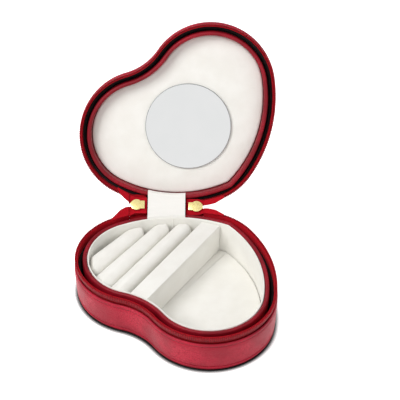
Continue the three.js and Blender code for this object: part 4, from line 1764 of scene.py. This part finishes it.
@dataclass
class Hinge(SubAssembly):
    """Cloth strap, leather spine and joined zip that hold the halves together."""

    strap_width: float = 22.2
    strap_thickness: float = 0.7
    strap_rise: float = 3.1
    spine_width: float = 25.2
    spine_thickness: float = 0.9
    spine_reach: float = 13.0
    chain_length: float = 25.2
    chain_radius: float = 1.2
    tooth_pitch: float = 1.05

    def over_hinge(
        self,
        legs: Sequence[tuple[float, float]],
        lid_legs: Sequence[tuple[float, float]],
        middle: float,
    ) -> list[Vector]:
        """A smooth path over the hinge from the base's side to the open lid's.

        Args:
            legs: Points on the base's side, as distances behind and above the hinge.
            lid_legs: The same on the lid's side, while the lid faces the base's way.
            middle: How far inwards the path passes the hinge.

        Returns:
            Points of the path as (0, y, z).
        """
        half_turn = math.radians(self.sizes.lid_opening) / 2
        base = [Vector((0.0, y, z)) for y, z in legs]
        turn = Matrix.Rotation(-math.radians(self.sizes.lid_opening), 3, "X")
        lid = [turn @ Vector((0.0, y, -z)) for y, z in reversed(lid_legs)]
        crest = Matrix.Rotation(-half_turn, 3, "X") @ Vector((0.0, -middle, 0.0))
        knots = [*base, crest, *lid]
        ends = [knots[0] * 2 - knots[1], *knots, knots[-1] * 2 - knots[-2]]
        path = []
        for a, b, c, d in zip(ends, ends[1:], ends[2:], ends[3:]):
            for t in (0.0, 0.25, 0.5, 0.75):
                path.append(
                    (b * 2 + (c - a) * t + (a * 2 - b * 5 + c * 4 - d) * t**2
                     + (b * 3 - a - c * 3 + d) * t**3) / 2
                )
        path.append(knots[-1])
        axis = Vector((0.0, self.sizes.hinge_y, self.sizes.base_height))
        return [p + axis for p in path]

    def band(self, name: str, path: Sequence[Vector], width: float, inset: float) -> Bench:
        """A band across the hinge that follows the curve of the back wall.

        Args:
            name: The piece's name.
            path: Its middle line at the hinge's middle.
            width: Its width along the hinge.
            inset: The inset of the wall that it follows.

        Returns:
            The bench with the band's middle surface on it.
        """
        s, route = self.sizes, self.round_route()
        stations = 9
        middle = route.back_at(s.hinge_middle, inset)
        xs = [s.hinge_middle + width * (i / (stations - 1) - 0.5) for i in range(stations)]
        bench = Bench.line(name, [(xs[0], p.y, p.z) for p in path])
        bench.edit()
        for before, x in zip(xs, xs[1:]):
            bench.extrude((x - before, 0.0, 0.0))
        lid_way = Matrix.Rotation(-math.radians(s.lid_opening), 3, "X") @ Vector((0.0, 1.0, 0.0))
        split = Matrix.Rotation(-math.radians(s.lid_opening) / 2, 3, "X") @ Vector((0.0, 0.0, 1.0))
        axis = Vector((0.0, s.hinge_y, s.base_height))
        for x in xs:
            dip = route.back_at(x, inset) - middle
            bench.pick(
                lambda p: abs(p.x - x) < 0.01 and (p - axis).dot(split) < -0.4
            ).shift((0.0, dip, 0.0))
            bench.pick(
                lambda p: abs(p.x - x) < 0.01 and (p - axis).dot(split) > 0.4
            ).shift(tuple(lid_way * dip))
        return bench

    def strap(self) -> None:
        """Cream strap over the gap inside the hinge."""
        s, route = self.sizes, self.round_route()
        half = self.strap_thickness / 2
        over = half + s.seat - s.collar_below_zip
        edge = route.back_at(s.hinge_middle, s.rim_width) - s.hinge_y
        shared = [
            (edge - 0.1, over - 0.05),
            (edge + half, over + s.seat),
            (edge + 3.2, over + 3 * s.seat),
        ]
        inside = edge - half - 0.1
        base_legs = [(inside, -s.collar_below_zip - s.seat), *shared]
        lid_legs = [(inside, -3.4), (inside, -1.4), *shared]
        path = self.over_hinge(base_legs, lid_legs, self.strap_rise)
        bench = self.band("hinge_strap_cloth", path, self.strap_width, s.rim_width)
        bench.outwards().modify("SOLIDIFY", thickness=self.strap_thickness, offset=0.0)
        bench.bevel(0.2, 2, 60).modify("SUBSURF", levels=1, render_levels=1)
        bench.outwards().fixed(Matrix.Scale(MM, 4))
        self.hand_over(bench.smooth(60), "", self.finishes.strap, ["hinge_strap"])
        length = sum((b - a).length for a, b in zip(path, path[1:]))
        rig.blend(bench.obj, "base", "lid", *self.blend_ends(edge + 3.2, over + 0.9))
        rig.sheet(
            bench.obj,
            flat=(self.strap_width * MM, length * MM),
            held="stretched",
            rests_on=["base_collar_leather", "lid_collar_leather"],
        )

    def blend_ends(self, y: float, z: float) -> tuple[Vector, Vector]:
        """Where a piece over the hinge starts and stops bending, in the frame."""
        s = self.sizes
        start = Vector((s.hinge_middle, s.hinge_y + y, s.base_height + z))
        end = s.about_hinge(s.lid_opening) @ Vector(
            (s.hinge_middle, s.hinge_y + y, s.base_height - z)
        )
        return start * MM, end * MM

    def spine(self) -> None:
        """Leather spine behind the hinge, from one side wall to the other."""
        s, route = self.sizes, self.round_route()
        half = self.spine_thickness / 2
        fold = self.chain_radius + s.seat + half
        face = route.back_at(s.hinge_middle, 0.0) - s.hinge_y + s.seat + half
        legs = [
            (face, -self.spine_reach), (face, -9.0), (face, -s.hem_below_zip),
            (s.seat + half, -2 * fold),
        ]
        path = self.over_hinge(legs, legs, -fold)
        bench = self.band("hinge_spine_leather", path, self.spine_width, 0.0)
        bench.outwards().modify("SOLIDIFY", thickness=self.spine_thickness, offset=0.0)
        bench.bevel(0.25, 2, 60).outwards().fixed(Matrix.Scale(MM, 4))
        self.hand_over(bench.smooth(60), "", self.finishes.leather, ["hinge_spine"])
        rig.blend(bench.obj, "base", "lid", *self.blend_ends(0.75, -2 * fold))

    def chain(self) -> None:
        """The stretch of zip that stays joined and is the hinge."""
        s = self.sizes
        length, radius = self.chain_length, self.chain_radius
        core = Bench.disc("hinge_zip_chain", radius * 0.62, length, (0.0, 0.0, 0.0), 12)
        core.bevel(0.2, 2).fixed(Matrix.Rotation(math.pi / 2, 4, "Y"))
        start = -length / 2
        rows = []
        for row, way in enumerate((-1, 1)):
            tooth = Bench.ball("tooth", (0.82, 1.9, 1.5), 10, 8)
            offset = self.tooth_pitch * (0.5 + 0.5 * row)
            tooth.fixed(Matrix.Translation((start + offset, 0.0, way * 0.42)))
            tooth.modify(
                "ARRAY",
                use_relative_offset=False,
                use_constant_offset=True,
                constant_offset_displace=(self.tooth_pitch, 0.0, 0.0),
                count=int((length - offset) / self.tooth_pitch),
            )
            rows.append(tooth)
        core.joined(*rows)
        place = Matrix.Translation((s.hinge_middle, s.hinge_y, s.base_height))
        turn = Matrix.Rotation(-math.radians(s.lid_opening) / 2, 4, "X")
        core.fixed(Matrix.Scale(MM, 4) @ place @ turn)
        self.hand_over(core.smooth(50), "base", self.finishes.coil, ["hinge_chain"])

    def build(self) -> None:
        """Builds the hinge from the outside in."""
        self.spine()
        self.chain()
        self.strap()


@dataclass
class ZipSlider(SubAssembly):
    """One slider, its pull tab and the tape that is gathered beside it.

    A fan has a station for each (distance ahead of the nose, inner depth, outer depth), and the
    channel's stations are measured from the tail.
    """

    side: Side = Side.LEFT
    length: float = 8.6
    width: float = 6.7
    tail_width: float = 4.9
    tail_length: float = 2.9
    nose_width: float = 2.2
    plate: float = 0.7
    channel: float = 1.8
    bridge: tuple[float, float] = (1.8, 1.4)
    bail_height: float = 1.5
    bail_span: float = 3.2
    bail_bar: float = 0.8
    bail_width: float = 1.6
    fan_base: Fan = ((1.0, 1.3, 6.8), (3.0, 2.1, 7.7), (5.6, 4.0, 8.8), (10.4, 10.2, 11.0))
    fan_lid: Fan = ((1.0, 1.9, 6.6), (3.0, 3.2, 7.6), (5.6, 5.6, 8.9), (7.4, 8.6, 9.8))
    wing_thickness: float = 0.3
    wing_gap: float = 0.15
    wing_channel: Fan = ((-1.2, 0.03, 5.0), (5.4, 0.03, 5.0), (5.8, 0.85, 5.0))
    wing_exit: tuple[float, float] = (0.5, 0.95)
    pull_length: float = 19.0
    pull_width: float = 5.4
    pull_waist: float = 3.6
    pull_thickness: float = 0.8
    pull_eye: float = 3.3

    @property
    def place(self) -> SliderPlace:
        """Where this slider lies."""
        s = self.sizes
        return s.left_slider if self.side is Side.LEFT else s.right_slider

    def in_frame(self) -> Matrix:
        """From the slider's own place, tail at the origin, to the frame."""
        s, place = self.sizes, self.place
        on_zip = Matrix.Translation((place.tail, s.hinge_y - place.reach, s.base_height))
        opened = s.about_hinge(s.lid_opening / 2)
        facing = Matrix.Rotation(math.pi if self.side is Side.LEFT else 0.0, 4, "Y")
        return Matrix.Scale(MM, 4) @ opened @ on_zip @ facing

    def plate_outline(self) -> list[tuple[float, float]]:
        """Outline of a plate: a straight tail, a rounded body and a narrow nose."""
        tail, wide, nose = self.tail_width / 2, self.width / 2, self.nose_width / 2
        tail_end, end = self.tail_length, self.length
        upper = [
            (0.0, tail), (tail_end - 0.2, tail), (tail_end + 0.1, tail + 0.35),
            (tail_end + 0.5, wide - 0.3), (tail_end + 1.1, wide - 0.06), (tail_end + 1.9, wide),
            (tail_end + 2.8, wide - 0.1), (tail_end + 3.7, wide - 0.5),
            (tail_end + 4.6, wide - 1.15), (end - 0.45, nose + 0.35), (end, nose - 0.1),
        ]
        return upper + [(x, -y) for x, y in reversed(upper)]

    def body(self) -> None:
        """Two plates, the bridge between them, lips at the tail and the bail on top."""
        outline, half = self.plate_outline(), self.channel / 2
        plates = []
        for low in (half, -half - self.plate):
            points = [(x, low, z) for x, z in outline]
            plate = Bench.line(f"slider_{self.side.value}_body", points, closed=True)
            plate.edit().fill().edit().extrude((0.0, self.plate, 0.0))
            plates.append(plate.outwards().bevel(0.2, 3, 35))
        nose_at, (long, wide) = self.length - self.nose_width / 2, self.bridge
        bridge = Bench.block(
            "bridge", (nose_at - long, -half - 0.3, -wide / 2), (nose_at, half + 0.3, wide / 2)
        )
        extras = [bridge.bevel(0.15, 2)]
        for way in (-1, 1):
            for edge in (-1, 1):
                across = edge * (self.tail_width / 2 - 0.3)
                foot, lip = sorted((way * (half + 0.3), way * (half - 0.4)))
                block = Bench.block(
                    "lip", (0.1, foot, across - 0.2), (self.tail_length, lip, across + 0.2)
                )
                extras.append(block.bevel(0.1, 2))
        extras.append(self.bail(half + self.plate))
        bench = plates[0].joined(plates[1], *extras)
        bench.fixed(self.in_frame())
        node = f"slider_{self.side.value}"
        self.hand_over(bench.smooth(35), node, self.finishes.gold, [node])

    def bail(self, face: float) -> Bench:
        """The arch that holds the pull, on a face of the slider."""
        outer, inner = self.bail_span / 2 + self.bail_bar, self.bail_span / 2
        top, under = self.bail_height + self.bail_bar, self.bail_height
        middle = self.tail_length + self.bail_bar
        shape = [
            (-outer, -0.3), (-outer, under - 0.2), (-outer + 0.25, top - 0.25), (-inner, top),
            (inner, top), (outer - 0.25, top - 0.25), (outer, under - 0.2), (outer, -0.3),
            (inner, -0.3), (inner, under - 0.25), (inner - 0.25, under), (-inner + 0.25, under),
            (-inner, under - 0.25), (-inner, -0.3),
        ]
        points = [(middle + x, face + y, -self.bail_width / 2) for x, y in shape]
        arch = Bench.line("bail", points, closed=True)
        arch.edit().fill().edit().extrude((0.0, 0.0, self.bail_width))
        return arch.outwards().bevel(0.18, 2, 40)

    def tape_wings(self) -> None:
        """The gathered tape on both sides of the slider, flat in its channel and then fanned."""
        route, sign, place = self.round_route(), self.side.sign, self.place
        channel = self.sizes.hinge_y - place.reach
        beyond, lowest = self.wing_exit
        wings = []
        for way, fan in ((-sign, self.fan_base), (sign, self.fan_lid)):
            flat = [*self.wing_channel, (self.length + beyond, lowest, fan[0][2])]
            rails = [((x, 0.0, way * inner), (x, 0.0, way * outer)) for x, inner, outer in flat]
            for ahead, inner, outer in fan:
                x = self.length + ahead
                wall = route.back_at(place.tail + sign * x, 0.0) + self.wing_gap
                drop = min(0.0, wall - channel)
                rails.append(((x, drop, way * inner), (x, drop, way * outer)))
            name = f"slider_{self.side.value}_tape"
            wing = Bench.line(name, [inner for inner, _ in rails])
            outer_edge = Bench.line(name, [outer for _, outer in rails])
            wing.joined(outer_edge).edit()
            bpy.ops.mesh.bridge_edge_loops()
            wing.outwards().modify("SOLIDIFY", thickness=self.wing_thickness, offset=0.0)
            wings.append(wing.fixed(Matrix.Translation((0.0, self.wing_gap, 0.0))))
        bench = wings[0].joined(wings[1]).outwards()
        bench.fixed(self.in_frame())
        self.hand_over(bench.smooth(35), f"slider_{self.side.value}", self.finishes.tape)

    def pull(self) -> None:
        """Long tab that hangs from the bail, with a round end and a hole through its eye."""
        eye = self.bail_width / 2 + 0.4
        shoulder, bar = eye + 1.1, self.pull_thickness / 2
        eye_end, wide, waist = bar + self.pull_eye, self.pull_width / 2, self.pull_waist / 2
        round_at = self.pull_length - wide
        upper = [
            (-bar, shoulder - 0.3), (-bar + 0.3, shoulder), (eye_end, shoulder),
            (eye_end + 1.1, (shoulder + waist) / 2 - 0.1), (eye_end + 2.2, waist),
            (round_at - wide, wide),
        ]
        upper += [
            (round_at + wide * math.sin(math.radians(a)), wide * math.cos(math.radians(a)))
            for a in range(0, 90, 15)
        ]
        outline = upper + [(self.pull_length, 0.0)] + [(x, -y) for x, y in reversed(upper)]
        thick = self.pull_thickness
        tab = Bench.line(
            f"pull_{self.side.value}_tab", [(-thick / 2, x, z) for x, z in outline], closed=True
        )
        tab.edit().fill().edit().extrude((thick, 0.0, 0.0)).outwards()
        hole = Bench.block("hole", (-1.0, bar, -eye), (1.0, eye_end, eye))
        hole.bevel(0.35, 3)
        tab.cut_by(hole)
        tab.bevel(0.16, 2, 40)
        across = self.tail_length + self.bail_bar
        facing = Matrix.Rotation(math.pi if self.side is Side.LEFT else 0.0, 4, "Y")
        hung = Matrix.Translation(
            (across, self.channel / 2 + self.plate + self.bail_height / 2, 0.0)
        )
        tab.outwards().fixed(self.in_frame() @ hung @ facing)
        node = f"pull_{self.side.value}"
        self.hand_over(tab.smooth(35), node, self.finishes.gold, [node])

    def build(self) -> None:
        """Builds the slider and its pull."""
        self.body()
        self.tape_wings()
        self.pull()


@dataclass
class Studio:
    """Floor, lamps, world and camera."""

    finishes: Finishes
    focal_px: float = 1496.056
    frame_px: float = 400.0
    sensor: float = 36.0
    stand: Point = (17.401, -621.725, 600.335)
    pitch: float = -39.953
    yaw: float = -0.294
    roll: float = 0.226
    ambient: float = 0.62

    def camera(self) -> None:
        """Puts the camera where the photograph was taken from."""
        data = bpy.data.cameras.new("camera")
        data.sensor_width = self.sensor
        data.lens = self.focal_px / self.frame_px * self.sensor
        data.clip_start, data.clip_end = 0.01, 20.0
        eye = bpy.data.objects.new("camera", data)
        bpy.context.scene.collection.objects.link(eye)
        pitch, yaw, roll = (math.radians(a) for a in (self.pitch, self.yaw, self.roll))
        ahead = Vector(
            (math.sin(yaw) * math.cos(pitch), math.cos(yaw) * math.cos(pitch), math.sin(pitch))
        )
        right = Vector((math.cos(yaw), -math.sin(yaw), 0.0))
        up = right.cross(ahead)
        tilted = right * math.cos(roll) + up * math.sin(roll)
        upright = up * math.cos(roll) - right * math.sin(roll)
        turn = Matrix((tilted, upright, -ahead)).transposed()
        eye.matrix_world = Matrix.Translation(Vector(self.stand) * MM) @ turn.to_4x4()
        bpy.context.scene.camera = eye

    def lamp(self, name: str, at: Point, size: float, power: float) -> None:
        """A square lamp that faces the case.

        Args:
            name: The lamp's name.
            at: Where it stands, in metres.
            size: Its width in metres.
            power: Its power in watts.
        """
        data = bpy.data.lights.new(name, "AREA")
        data.size, data.energy = size, power
        obj = bpy.data.objects.new(name, data)
        bpy.context.scene.collection.objects.link(obj)
        way = Vector((0.0, 0.02, 0.03)) - Vector(at)
        obj.matrix_world = Matrix.Translation(at) @ way.to_track_quat("-Z", "Y").to_matrix().to_4x4()

    def world(self) -> None:
        """Soft light from all round, white where it is looked at."""
        world = bpy.data.worlds.new("studio")
        bpy.context.scene.world = world
        world.use_nodes = True
        tree = world.node_tree
        tree.nodes.clear()
        path = tree.nodes.new("ShaderNodeLightPath")
        seen = tree.nodes.new("ShaderNodeMath")
        seen.operation = "MAXIMUM"
        tree.links.new(path.outputs["Is Camera Ray"], seen.inputs[0])
        tree.links.new(path.outputs["Is Glossy Ray"], seen.inputs[1])
        level = tree.nodes.new("ShaderNodeMapRange")
        tree.links.new(seen.outputs[0], level.inputs[0])
        level.inputs[3].default_value, level.inputs[4].default_value = self.ambient, 1.0
        shade = tree.nodes.new("ShaderNodeBackground")
        tree.links.new(level.outputs[0], shade.inputs["Strength"])
        tree.links.new(
            shade.outputs[0], tree.nodes.new("ShaderNodeOutputWorld").inputs["Surface"]
        )

    def floor(self) -> None:
        """A wide white floor with a softened rim."""
        floor = Bench.disc("studio_floor", 1500.0, 20.0, (0.0, 0.0, -10.05), 64).bevel(4.0, 2)
        floor.fixed(Matrix.Scale(MM, 4))
        floor.obj.data.materials.append(self.finishes.floor.material())
        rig.stage(floor.obj)

    def build(self) -> None:
        """Sets up the studio."""
        self.camera()
        self.floor()
        self.world()
        self.lamp("key_lamp", (-0.55, -0.35, 0.85), 0.5, 7.0)
        self.lamp("fill_lamp", (0.7, -0.6, 0.6), 0.8, 2.0)
        bpy.context.scene.view_settings.view_transform = "Standard"


def dress_hidden_nodes(nodes: Mapping[str, bpy.types.Object], finishes: Finishes) -> None:
    """Gives the CAD nodes that stay, all inside the covers, their finishes; the trays and collar boards take
    near-black painted shade.

    Args:
        nodes: The frame's nodes by name.
        finishes: The shelf of finishes.
    """
    for name, node in nodes.items():
        if node.hide_render:
            continue
        finish = finishes.board
        if "foam" in name or "pad" in name:
            finish = finishes.foam
        elif "tray" in name or "collar" in name:
            # Trays and collar boards show in the gaps, so they take near-black painted shade.
            finish = finishes.painted_shade_board
        node.data.materials.clear()
        node.data.materials.append(finish.material())
        log.info("%s keeps its CAD shape and wears %s", name, finish.name)


def main() -> None:
    """Builds the case over its frame and writes its sizes before and after."""
    logging.basicConfig(level=logging.INFO, format="%(message)s")
    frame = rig.load()
    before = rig.bounds()
    sizes, finishes = CaseSizes(), Finishes()
    Studio(finishes).build()
    HalfShell(sizes, finishes).build()
    HalfShell(
        sizes,
        finishes,
        half=Half.LID,
        edge=2.6,
        collar_inner_skirt=9.35,
        collar_outer_skirt=9.35,
    ).build()
    BaseFittings(sizes, finishes).build()
    LidFittings(sizes, finishes).build()
    Hinge(sizes, finishes).build()
    ZipSlider(sizes, finishes).build()
    ZipSlider(
        sizes,
        finishes,
        side=Side.RIGHT,
        fan_base=((0.9, 0.95, 4.0), (3.0, 1.1, 4.3), (7.4, 2.3, 5.3), (12.4, 5.6, 6.6)),
        fan_lid=((0.9, 0.95, 4.0), (3.0, 1.0, 4.3), (7.4, 1.8, 5.0), (12.4, 4.4, 6.2)),
    ).build()
    dress_hidden_nodes(frame["nodes"], finishes)
    at_rest()
    with open(SIZE_FILE, "w", encoding="utf-8") as file:
        json.dump(
            {
                "before": [list(corner) for corner in before],
                "after": [list(corner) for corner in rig.bounds()],
            },
            file,
        )


if __name__ == "__main__":
    main()
